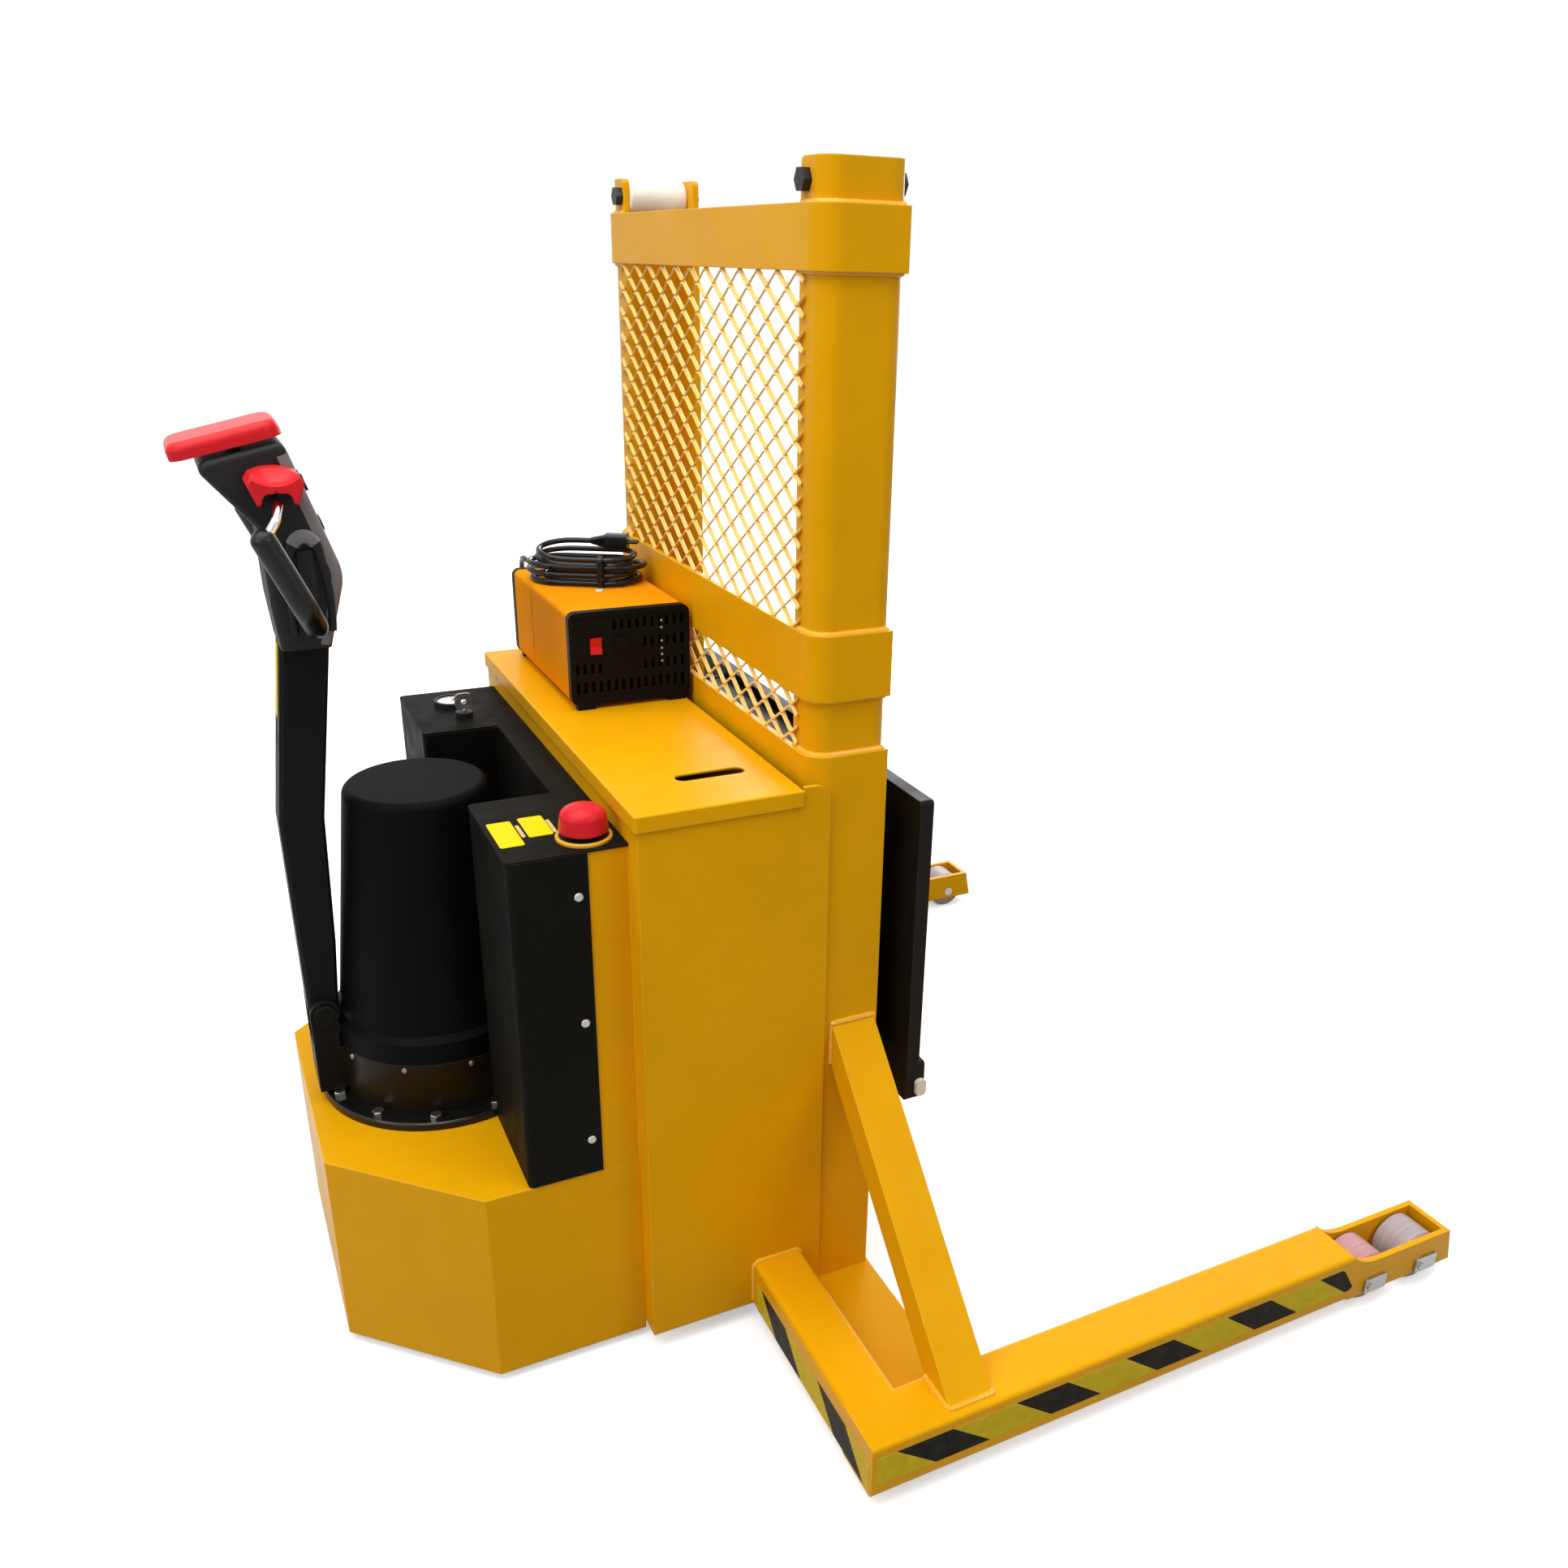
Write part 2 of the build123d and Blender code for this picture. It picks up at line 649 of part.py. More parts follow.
# Traction battery: a tray of cells with filler caps
battery_mid_x = (box_rear_x + box_plate + mast_rear_x) / 2
battery_width = 2 * (box_half - box_plate) - 16
battery_depth = mast_rear_x - box_rear_x - box_plate - 16
with BuildPart() as traction_battery:
    with BuildSketch(level(box_floor + box_plate)):
        with Locations((battery_mid_x, 0)):
            RectangleRounded(battery_depth, battery_width, 6)
    extrude(amount=battery_height)
    with BuildSketch(level(box_floor + box_plate + battery_height)):
        with Locations((battery_mid_x, 0)):
            with GridLocations(battery_depth / 2, battery_width / 6, 2, 6):
                RegularPolygon(18, 6)
    extrude(amount=14)
traction_battery.part.label = "traction_battery"
export_step(traction_battery.part, "parts/traction_battery.step")

# Drive base: welded hood over the drive wheel, open below, bored for the steering neck
with BuildPart() as drive_base:
    with BuildSketch(level(base_bottom)) as base_plan:
        with BuildLine():
            Polyline(
                (box_rear_x, cabinet_half),
                (beam_x + base_shoulder, cabinet_half),
                (base_tail_x, base_tail_half),
                (base_tail_x, -base_tail_half),
                (beam_x + base_shoulder, -cabinet_half),
                (box_rear_x, -cabinet_half),
                close=True,
            )
        make_face()
    extrude(amount=base_top - base_bottom)
    with BuildSketch(level(base_bottom)):
        add(base_plan.sketch_local)
        offset(amount=-base_wall, kind=Kind.INTERSECTION, mode=Mode.REPLACE)
    extrude(amount=base_top - base_bottom - base_deck, mode=Mode.SUBTRACT)
    with BuildSketch(level(base_top)):
        with Locations((steer_x, 0)):
            Circle(neck_radius + 6)
    extrude(amount=-base_deck, mode=Mode.SUBTRACT)
    corner_posts = drive_base.edges().filter_by(Axis.Z).group_by(Axis.X)[0:2]
    fillet([post for posts in corner_posts for post in posts if post.length > 290], 3)
drive_base.part.label = "drive_base"
export_step(drive_base.part, "parts/drive_base.step")

# Turntable flange and its bolts
flange_top_z = base_top + flange_plate
with BuildPart() as turntable_flange:
    with BuildSketch(level(base_top)):
        with Locations((steer_x, 0)):
            Circle(flange_radius)
            Circle(neck_radius + running_gap, mode=Mode.SUBTRACT)
    extrude(amount=flange_plate)
    flange_rim = turntable_flange.faces().sort_by(Axis.Z)[-1].edges().sort_by(SortBy.RADIUS)[-1]
    chamfer(flange_rim, 2)
turntable_flange.part.label = "turntable_flange"
export_step(turntable_flange.part, "parts/turntable_flange.step")

with BuildPart() as flange_bolts:
    with BuildSketch(level(flange_top_z)):
        with Locations((steer_x, 0)):
            with PolarLocations(flange_bolt_circle, flange_bolts_count, start_angle=15):
                RegularPolygon(8.5, 6)
    extrude(amount=6.5)
flange_bolts.part.label = "flange_bolts"
export_step(flange_bolts.part, "parts/flange_bolts.step")

# Steering ring with its neck through the flange
ring_bottom_z = flange_top_z + slide_gap
neck_bottom_z = base_top - base_deck - 1
with BuildPart() as steering_ring:
    with BuildSketch(level(neck_bottom_z)):
        with Locations((steer_x, 0)):
            Circle(neck_radius)
    extrude(amount=ring_bottom_z - neck_bottom_z)
    with BuildSketch(level(ring_bottom_z)):
        with Locations((steer_x, 0)):
            Circle(ring_radius)
    extrude(amount=ring_top - ring_bottom_z)
    with BuildSketch(level(neck_bottom_z)):
        with Locations((steer_x, 0)):
            Circle(ring_radius - ring_wall)
    extrude(amount=ring_top - neck_bottom_z, mode=Mode.SUBTRACT)
steering_ring.part.label = "steering_ring"
export_step(steering_ring.part, "parts/steering_ring.step")

# Drive fork: top plate, two cheeks, gear case on one side and the wheel axle
drive_wheel_r = drive_wheel_diameter / 2
drive_axle_r = drive_axle_diameter / 2
fork_inner = drive_wheel_width / 2 + 4
with BuildPart() as drive_fork:
    with BuildSketch(level(neck_bottom_z)):
        with Locations((steer_x, 0)):
            Circle(neck_radius - 6)
    extrude(amount=-30)
    for side, sign in sides:
        with BuildSketch(across(sign * fork_inner)):
            with Locations((steer_x, drive_wheel_r)):
                Circle(40)
            with BuildLine():
                Polyline(
                    (steer_x - 40, drive_wheel_r),
                    (steer_x + 40, drive_wheel_r),
                    (steer_x + 60, neck_bottom_z - 20),
                    (steer_x - 60, neck_bottom_z - 20),
                    close=True,
                )
            make_face()
        extrude(amount=-sign * 16)
    with BuildSketch(across(fork_inner + 16)):
        with Locations((steer_x, drive_wheel_r + 12)):
            SlotCenterToCenter(70, 100, rotation=90)
    extrude(amount=-22)
    with BuildSketch(across(-fork_inner)):
        with Locations((steer_x, drive_wheel_r)):
            Circle(drive_axle_r)
    extrude(amount=-2 * fork_inner)
drive_fork.part.label = "drive_fork"
export_step(drive_fork.part, "parts/drive_fork.step")

# Drive wheel: cast hub with a dished web and a bonded tyre
hub_r = drive_wheel_r - 26
with BuildPart() as drive_hub:
    with BuildSketch(Plane.XY.offset(drive_wheel_r)):
        with BuildLine():
            half_width = drive_wheel_width / 2
            Polyline(
                (steer_x + drive_axle_r + running_gap, -half_width),
                (steer_x + 36, -half_width),
                (steer_x + 40, -half_width + 18),
                (steer_x + hub_r - 14, -half_width + 18),
                (steer_x + hub_r - 10, -half_width + 2),
                (steer_x + hub_r, -half_width + 2),
                (steer_x + hub_r, half_width - 2),
                (steer_x + hub_r - 10, half_width - 2),
                (steer_x + hub_r - 14, half_width - 18),
                (steer_x + 40, half_width - 18),
                (steer_x + 36, half_width),
                (steer_x + drive_axle_r + running_gap, half_width),
                close=True,
            )
        make_face()
    revolve(axis=Axis((steer_x, 0, drive_wheel_r), (0, 1, 0)))
drive_hub.part.label = "drive_hub"
export_step(drive_hub.part, "parts/drive_hub.step")

with BuildPart() as drive_tyre:
    with BuildSketch(across(0)):
        with Locations((steer_x, drive_wheel_r)):
            Circle(drive_wheel_r)
            Circle(hub_r, mode=Mode.SUBTRACT)
    extrude(amount=drive_wheel_width / 2, both=True)
    shoulders = drive_tyre.edges().filter_by(GeomType.CIRCLE).sort_by(SortBy.RADIUS)[-2:]
    chamfer(shoulders, 5)
drive_tyre.part.label = "drive_tyre"
export_step(drive_tyre.part, "parts/drive_tyre.step")

# Drive motor standing in the steering ring
motor_r = ring_radius - ring_wall - 15
with BuildPart() as drive_motor:
    with BuildSketch(level(neck_bottom_z)):
        with Locations((steer_x, 0)):
            Circle(motor_r)
    extrude(amount=motor_cover_top - 140 - neck_bottom_z)
    motor_rim = drive_motor.faces().sort_by(Axis.Z)[-1].edges()
    fillet(motor_rim, 14)
drive_motor.part.label = "drive_motor"
export_step(drive_motor.part, "parts/drive_motor.step")

# Motor cover: spun shell that tapers to a flat top with a rounded edge
with BuildPart() as motor_cover:
    with BuildSketch(across(0)):
        with BuildLine():
            FilletPolyline(
                (steer_x, motor_cover_top),
                (steer_x + motor_cover_top_radius, motor_cover_top),
                (steer_x + ring_radius - 10, ring_top + 40),
                radius=12,
            )
            Polyline(
                (steer_x + ring_radius - 10, ring_top + 40),
                (steer_x + ring_radius, ring_top + 32),
                (steer_x + ring_radius, ring_top),
                (steer_x + ring_radius - motor_cover_sheet, ring_top),
                (steer_x + ring_radius - motor_cover_sheet, ring_top + 30),
                (steer_x + ring_radius - 10 - motor_cover_sheet, ring_top + 38),
            )
            FilletPolyline(
                (steer_x + ring_radius - 10 - motor_cover_sheet, ring_top + 38),
                (steer_x + motor_cover_top_radius - motor_cover_sheet, motor_cover_top - motor_cover_sheet),
                (steer_x, motor_cover_top - motor_cover_sheet),
                radius=8,
            )
            Line((steer_x, motor_cover_top - motor_cover_sheet), (steer_x, motor_cover_top))
        make_face()
    revolve(axis=Axis((steer_x, 0, 0), (0, 0, 1)))
motor_cover.part.label = "motor_cover"
export_step(motor_cover.part, "parts/motor_cover.step")

# Control cover: folded sheet with an alcove round the motor cover, cut out over the flange
alcove_half = ring_radius + 5 + cover_sheet / 2
alcove_x = steer_x + ring_radius + 5 + cover_sheet / 2
cover_half = cabinet_half + cover_sheet / 2
cover_rear_x = beam_x + cover_rear
cover_front_x = beam_x + cover_front
with BuildPart() as control_cover:
    with BuildSketch(level(base_top + 2)):
        with BuildLine():
            FilletPolyline(
                (cover_front_x, cover_half),
                (cover_rear_x, cover_half),
                (cover_rear_x, alcove_half),
                (alcove_x, alcove_half),
                (alcove_x, -alcove_half),
                (cover_rear_x, -alcove_half),
                (cover_rear_x, -cover_half),
                (cover_front_x, -cover_half),
                radius=8,
            )
        trace(line_width=cover_sheet)
    extrude(amount=console_low - base_top - 2)
    with BuildSketch(level(base_top)):
        with Locations((steer_x, 0)):
            Circle(flange_radius + 6)
    extrude(amount=flange_plate + 14, mode=Mode.SUBTRACT)
control_cover.part.label = "control_cover"
export_step(control_cover.part, "parts/control_cover.step")

# Cover screws along both sides of the control cover
with BuildPart() as cover_screws:
    for side, sign in sides:
        with BuildSketch(across(sign * (cabinet_half + cover_sheet))):
            for share in (0.12, 0.5, 0.88):
                with Locations((cover_front_x - 14, base_top + share * (console_low - base_top))):
                    Circle(6)
        extrude(amount=-sign * 3.5)
    heads = cover_screws.edges().filter_by(GeomType.CIRCLE)
    rims = [head for head in heads if abs(head.arc_center.Y) > cabinet_half + cover_sheet + 1]
    chamfer(rims, 1.2)
cover_screws.part.label = "cover_screws"
export_step(cover_screws.part, "parts/cover_screws.step")

# Console panel on top of the cabinet, notched for the motor cover
notch_half = alcove_half - cover_sheet / 2
with BuildPart() as console_panel:
    with BuildSketch(level(console_low)):
        with BuildLine():
            console_rear_x = cover_rear_x - cover_sheet / 2
            Polyline(
                (box_rear_x, cabinet_half + cover_sheet),
                (console_rear_x, cabinet_half + cover_sheet),
                (console_rear_x, notch_half),
                (alcove_x - cover_sheet / 2, notch_half),
                (alcove_x - cover_sheet / 2, -notch_half),
                (console_rear_x, -notch_half),
                (console_rear_x, -cabinet_half - cover_sheet),
                (box_rear_x, -cabinet_half - cover_sheet),
                close=True,
            )
        make_face()
    extrude(amount=console_plate)
    panel_corners = console_panel.edges().filter_by(Axis.Z).group_by(Axis.X)[0]
    fillet(panel_corners, 8)
console_panel.part.label = "console_panel"
export_step(console_panel.part, "parts/console_panel.step")

# Emergency stop base, key switch barrel and battery gauge on the console
estop_x = beam_x - 198
estop_y = -(cabinet_half - 38)
key_x = beam_x - 232
key_y = cabinet_half - 140
gauge_x = beam_x - 236
gauge_y = cabinet_half - 70
stem_r = 11.0
collar_r = 17.0
mushroom_r = 31.0
with BuildPart() as console_fittings:
    with BuildSketch(level(console_top)):
        with Locations((estop_x, estop_y)):
            Circle(mushroom_r + 3)
            Circle(stem_r + running_gap, mode=Mode.SUBTRACT)
    extrude(amount=4)
    with BuildSketch(level(console_top + 4)):
        with Locations((estop_x, estop_y)):
            Circle(collar_r)
            Circle(stem_r + running_gap, mode=Mode.SUBTRACT)
    extrude(amount=16)
    with BuildSketch(level(console_top)):
        with Locations((key_x, key_y)):
            Circle(13)
            Circle(4 + running_gap, mode=Mode.SUBTRACT)
    extrude(amount=9)
    with BuildSketch(level(console_top)):
        with Locations((gauge_x, gauge_y)):
            Circle(28)
    extrude(amount=8)
    with BuildSketch(level(console_top + 8)):
        with Locations((gauge_x, gauge_y)):
            Circle(24)
    extrude(amount=-3, mode=Mode.SUBTRACT)
console_fittings.part.label = "console_fittings"
export_step(console_fittings.part, "parts/console_fittings.step")

# Emergency stop mushroom on its stem, its skirt hollow over the collar
estop_travel = 5.0
with BuildPart() as estop_knob:
    with BuildSketch(Plane.XZ.offset(-estop_y)):
        with BuildLine():
            cap_z = console_top + 20 + estop_travel + slide_gap
            skirt_z = console_top + 4 + estop_travel + 2 * slide_gap
            Polyline(
                (estop_x, cap_z + 19),
                (estop_x, console_top + 2 + estop_travel),
                (estop_x + stem_r, console_top + 2 + estop_travel),
                (estop_x + stem_r, cap_z),
                (estop_x + collar_r + 2, cap_z),
                (estop_x + collar_r + 2, skirt_z),
                (estop_x + mushroom_r - 1.5, skirt_z),
                (estop_x + mushroom_r, skirt_z + 1.5),
                (estop_x + mushroom_r - 2, cap_z + 4),
            )
            RadiusArc((estop_x + mushroom_r - 2, cap_z + 4), (estop_x + mushroom_r - 11, cap_z + 15), -14)
            RadiusArc((estop_x + mushroom_r - 11, cap_z + 15), (estop_x, cap_z + 19), -52)
        make_face()
    revolve(axis=Axis((estop_x, estop_y, 0), (0, 0, 1)))
estop_knob.part.label = "estop_knob"
export_step(estop_knob.part, "parts/estop_knob.step")

# Ignition key in the barrel
with BuildPart() as ignition_key:
    with BuildSketch(level(console_top + rest_gap)):
        with Locations((key_x, key_y)):
            Circle(4)
    extrude(amount=12)
    with BuildSketch(across(key_y)):
        with Locations((key_x, console_top + 25)):
            RectangleRounded(26, 26, 8)
            Circle(4, mode=Mode.SUBTRACT)
    extrude(amount=2, both=True)
ignition_key.part.label = "ignition_key"
export_step(ignition_key.part, "parts/ignition_key.step")

# Hydraulic power pack in the right tower and motor controller in the left tower
tower_inner = flange_radius + 8
tower_outer = cabinet_half - 12
tower_mid = (tower_inner + tower_outer) / 2
with BuildPart() as power_pack:
    with BuildSketch(level(base_top)):
        with Locations((box_rear_x - 78, -tower_mid)):
            RectangleRounded(124, tower_outer - tower_inner, 8)
    extrude(amount=240)
    with BuildSketch(level(base_top + 240)):
        with Locations((box_rear_x - 78, -tower_mid)):
            Circle(52)
    extrude(amount=190)
    with BuildSketch(facing(box_rear_x)):
        with Locations((tower_mid, base_top + 260)):
            RectangleRounded(tower_outer - tower_inner, 220, 6)
    extrude(amount=-58)
power_pack.part.label = "power_pack"
export_step(power_pack.part, "parts/power_pack.step")

# Tiller bracket: foot against the steering ring and two bored ears
pin_r = pivot_pin_diameter / 2
ear_inner = arm_half + slide_gap
ear_outer = ear_inner + ear_plate
ear_foot_z = flange_top_z + 8
with BuildPart() as tiller_bracket:
    with BuildSketch(across(0)):
        with Locations((pivot_x, pivot_height)):
            Circle(eye_radius)
        with BuildLine():
            Polyline(
                (pivot_x - eye_radius, pivot_height),
                (pivot_x - eye_radius, ear_foot_z),
                (pivot_x + 40, ear_foot_z),
                (pivot_x + 40, ring_top - 2),
                (pivot_x + 14, ring_top - 2),
                (pivot_x + 14, ring_top + 34),
                (pivot_x + 16, pivot_height),
                close=True,
            )
        make_face()
    extrude(amount=ear_outer, both=True)
    with BuildSketch(level(ring_top - 2)):
        with Locations((pivot_x, 0)):
            Rectangle(4 * eye_radius, 2 * ear_inner)
    extrude(amount=200, mode=Mode.SUBTRACT)
    with BuildSketch(across(0)):
        with Locations((pivot_x, pivot_height)):
            Circle(pin_r + running_gap)
    extrude(amount=ear_outer + 1, both=True, mode=Mode.SUBTRACT)
    with BuildSketch(level(ear_foot_z - 1)):
        with Locations((steer_x, 0)):
            Circle(ring_radius)
    extrude(amount=ring_top + 34 - ear_foot_z, mode=Mode.SUBTRACT)
tiller_bracket.part.label = "tiller_bracket"
export_step(tiller_bracket.part, "parts/tiller_bracket.step")

# Pivot pin with a head at each end
with BuildPart() as pivot_pin:
    with BuildSketch(across(0)):
        with Locations((pivot_x, pivot_height)):
            Circle(pin_r)
    extrude(amount=ear_outer + rest_gap + 5, both=True)
    for side, sign in sides:
        with BuildSketch(across(sign * (ear_outer + rest_gap))):
            with Locations((pivot_x, pivot_height)):
                Circle(pin_r + 5)
        extrude(amount=-sign * 5)
pivot_pin.part.label = "pivot_pin"
export_step(pivot_pin.part, "parts/pivot_pin.step")

# Tiller arm: cranked box arm from the pivot eye to the head
head_foot_z = 985.0
with BuildPart() as tiller_arm:
    with BuildSketch(across(0)):
        with BuildLine():
            Polyline(
                (pivot_x + eye_radius, pivot_height),
                (pivot_x + 28, 560),
                (pivot_x + 35, 745),
                (pivot_x + 69, head_foot_z),
                (pivot_x + 9, head_foot_z),
                (pivot_x - 22, 745),
                (pivot_x - eye_radius, pivot_height),
            )
            ThreePointArc(
                (pivot_x - eye_radius, pivot_height),
                (pivot_x, pivot_height - eye_radius),
                (pivot_x + eye_radius, pivot_height),
            )
        make_face()
    extrude(amount=arm_half, both=True)
    long_edges = tiller_arm.edges().filter_by(lambda edge: edge.length > 80 and abs(edge.center().Y) > 1)
    chamfer(long_edges, 4)
    with BuildSketch(across(0)):
        with Locations((pivot_x, pivot_height)):
            Circle(pin_r + running_gap)
    extrude(amount=arm_half + 1, both=True, mode=Mode.SUBTRACT)
tiller_arm.part.label = "tiller_arm"
export_step(tiller_arm.part, "parts/tiller_arm.step")

# Tiller head: leaning housing, bored for the throttle shaft and the belly switch stem
head_front = (pivot_x + 94, 1075.0)
head_front_top = (pivot_x + 42, 1238.0)
head_rear_top = (pivot_x - 62, 1214.0)
head_rear = (pivot_x + 2, 1135.0)
head_radii = (60, 12, 12, 20, 20)
throttle_x = pivot_x + 24
throttle_z = 1196.0
throttle_r = throttle_shaft_diameter / 2
end_run = Vector(head_front_top[0] - head_rear_top[0], 0, head_front_top[1] - head_rear_top[1]).normalized()
belly_out = Vector(-end_run.Z, 0, end_run.X)
belly_mid_x = (head_front_top[0] + head_rear_top[0]) / 2
belly_mid_z = (head_front_top[1] + head_rear_top[1]) / 2
belly_plane = Plane(origin=(belly_mid_x, 0, belly_mid_z), x_dir=end_run, z_dir=belly_out)
panel_run = Vector(head_front_top[0] - head_front[0], 0, head_front_top[1] - head_front[1])
panel_up = panel_run.normalized()
panel_out = Vector(panel_up.Z, 0, -panel_up.X)
horn_spot = Vector(head_front[0], 0, head_front[1]) + panel_run * 0.34
rocker_spot = Vector(head_front[0], 0, head_front[1]) + panel_run * 0.66
horn_plane = Plane(origin=horn_spot, x_dir=(0, 1, 0), z_dir=panel_out)
rocker_plane = Plane(origin=rocker_spot, x_dir=(0, 1, 0), z_dir=panel_out)
button_r = 11.0
button_depth = 14.0
rocker_length = 44.0
rocker_width = 20.0
rocker_clear = 1.2
with BuildPart() as tiller_head:
    with BuildSketch(across(0)):
        with BuildLine():
            FilletPolyline(
                (pivot_x + 69, head_foot_z),
                head_front,
                head_front_top,
                head_rear_top,
                head_rear,
                (pivot_x + 4, 1040),
                (pivot_x + 9, head_foot_z),
                radius=head_radii,
            )
            Line((pivot_x + 9, head_foot_z), (pivot_x + 69, head_foot_z))
        make_face()
    extrude(amount=head_half, both=True)
    rims = tiller_head.faces().filter_by(Axis.Y).edges()
    keep_rims = [rim for rim in rims if abs(rim.center().Z - head_foot_z) > 1]
    fillet(keep_rims, 9)
    with BuildSketch(across(0)):
        with Locations((throttle_x, throttle_z)):
            Circle(throttle_r + running_gap)
    extrude(amount=head_half + 1, both=True, mode=Mode.SUBTRACT)
    with BuildSketch(belly_plane):
        Circle(8 + running_gap)
    extrude(amount=-24, mode=Mode.SUBTRACT)
    with BuildSketch(horn_plane):
        Circle(button_r + slide_gap)
    extrude(amount=-button_depth, mode=Mode.SUBTRACT)
    with BuildSketch(rocker_plane):
        Rectangle(rocker_length + 2 * rocker_clear, rocker_width + 2 * slide_gap)
    extrude(amount=-button_depth, mode=Mode.SUBTRACT)
    with BuildSketch(rocker_plane):
        Rectangle(2 * rocker_length, 4 * rocker_width)
    extrude(amount=20, mode=Mode.SUBTRACT)
tiller_head.part.label = "tiller_head"
export_step(tiller_head.part, "parts/tiller_head.step")

# Belly switch: cushioned cap over the end of the head, on a guided stem
belly_height = 20.0
belly_edge = 11.0
belly_front = 57.0
belly_low = belly_travel + slide_gap
belly_lean = end_run.Z * (belly_low + belly_height - belly_edge) + belly_edge
belly_rear = belly_edge + (belly_mid_x - belly_lean - rear_x) / end_run.X
with BuildPart() as belly_switch:
    with BuildSketch(belly_plane.offset(belly_low)):
        with Locations(((belly_front - belly_rear) / 2, 0)):
            RectangleRounded(belly_front + belly_rear, 2 * head_half - 8, 22)
    extrude(amount=belly_height)
    cushion = belly_switch.faces().sort_by(Axis(belly_plane.origin, belly_out))[-1].edges()
    fillet(cushion, belly_edge)
    with BuildSketch(belly_plane.offset(belly_low)):
        Circle(8)
    extrude(amount=-20)
belly_switch.part.label = "belly_switch"
export_step(belly_switch.part, "parts/belly_switch.step")

# Horn button and lift rocker on the face of the head that turns up when the tiller is lowered
with BuildPart() as horn_button:
    with BuildSketch(horn_plane.offset(4 - button_depth)):
        Circle(button_r)
    extrude(amount=button_depth)
    chamfer(horn_button.faces().sort_by(Axis(horn_spot, panel_out))[-1].edges(), 2)
horn_button.part.label = "horn_button"
export_step(horn_button.part, "parts/horn_button.step")

rocker_face = Plane(origin=rocker_spot - panel_up * (rocker_width / 2), x_dir=(0, 1, 0), z_dir=-panel_up)
with BuildPart() as lift_rocker:
    with BuildSketch(rocker_face):
        with BuildLine():
            reach = rocker_length / 2
            Polyline(
                (-reach, 5),
                (0, 2.5),
                (reach, 5),
                (reach - 2, -5),
                (5, -button_depth + 1.5),
                (-5, -button_depth + 1.5),
                (2 - reach, -5),
                close=True,
            )
        make_face()
    extrude(amount=-rocker_width)
lift_rocker.part.label = "lift_rocker"
export_step(lift_rocker.part, "parts/lift_rocker.step")

# Throttle: shaft through the head with a forked thumb wing on each side, dished on its outer end
wing_half = 32.0
wing_shoulder = 26.0
wing_rise = 10.0
wing_crown = 15.5
fork_drop = 24.0
fork_tip = 18.5
fork_width = 4.0
notch_drop = 9.0
dish_r = 44.0
dish_rise = 42.0
dish_out = 4.0
wing_top = throttle_z + wing_rise
fork_z = throttle_z - fork_drop
with BuildPart() as throttle:
    with BuildSketch(across(0)):
        with Locations((throttle_x, throttle_z)):
            Circle(throttle_r)
    extrude(amount=wing_inner + 4, both=True)
    for side, sign in sides:
        with BuildSketch(across(sign * wing_inner)):
            with BuildLine():
                ThreePointArc(
                    (throttle_x - wing_shoulder, wing_top),
                    (throttle_x, throttle_z + wing_crown),
                    (throttle_x + wing_shoulder, wing_top),
                )
                Polyline(
                    (throttle_x + wing_shoulder, wing_top),
                    (throttle_x + wing_half, throttle_z + 1),
                    (throttle_x + fork_tip + fork_width, fork_z),
                    (throttle_x + fork_tip, fork_z),
                    (throttle_x, throttle_z - notch_drop),
                    (throttle_x - fork_tip, fork_z),
                    (throttle_x - fork_tip - fork_width, fork_z),
                    (throttle_x - wing_half, throttle_z + 1),
                    (throttle_x - wing_shoulder, wing_top),
                )
            make_face()
        extrude(amount=-sign * (wing_outer - wing_inner))
    wing_rims = throttle.faces().filter_by(Axis.Y).edges()
    outer_rims = [rim for rim in wing_rims if abs(rim.center().Y) > wing_outer - 1]
    chamfer(outer_rims, 2.5)
    for side, sign in sides:
        with Locations((throttle_x, sign * (wing_outer + dish_out), throttle_z + dish_rise)):
            Sphere(dish_r, mode=Mode.SUBTRACT)
throttle.part.label = "throttle"
export_step(throttle.part, "parts/throttle.step")

# Loop grips: rubber-covered tube from the head's shoulder up to a socketed elbow on each side
rod_z = throttle_z - 25
elbow_x = pivot_x + 3
elbow_y = 122.0
elbow_z = 1133.0
rod_turn_x = throttle_x - 6
rod_turn_z = 1156.0
grip_r = grip_diameter / 2
rod_socket = 4.0
grip_aim = Vector(rod_turn_x - elbow_x, 0, rod_turn_z - elbow_z).normalized()
loop_low_x = pivot_x + 38
loop_low_z = 1052.0
loop_aim = Vector(elbow_x - loop_low_x, 0, elbow_z - loop_low_z).normalized()
with BuildPart() as grip_loops:
    for side, sign in sides:
        elbow = Vector(elbow_x, sign * elbow_y, elbow_z)
        with BuildLine() as grip_path:
            FilletPolyline(
                (pivot_x + 50, sign * head_half, 1020),
                (pivot_x + 50, sign * (head_half + 34), 1020),
                (loop_low_x, sign * elbow_y, loop_low_z),
                elbow + loop_aim * grip_r,
                radius=26,
            )
        with BuildSketch(Plane(origin=grip_path.line @ 0, z_dir=grip_path.line % 0)):
            Circle(grip_r)
        sweep(path=grip_path.wire())
        end_rim = grip_loops.edges().filter_by(GeomType.CIRCLE).sort_by_distance(elbow + loop_aim * grip_r)[0]
        fillet(end_rim, grip_r - 1)
        with BuildSketch(Plane(origin=elbow + grip_aim * (grip_r - rod_socket), z_dir=grip_aim)):
            Circle(grip_rod_diameter / 2 + running_gap)
        extrude(amount=grip_r, mode=Mode.SUBTRACT)
grip_loops.part.label = "grip_loops"
export_step(grip_loops.part, "parts/grip_loops.step")

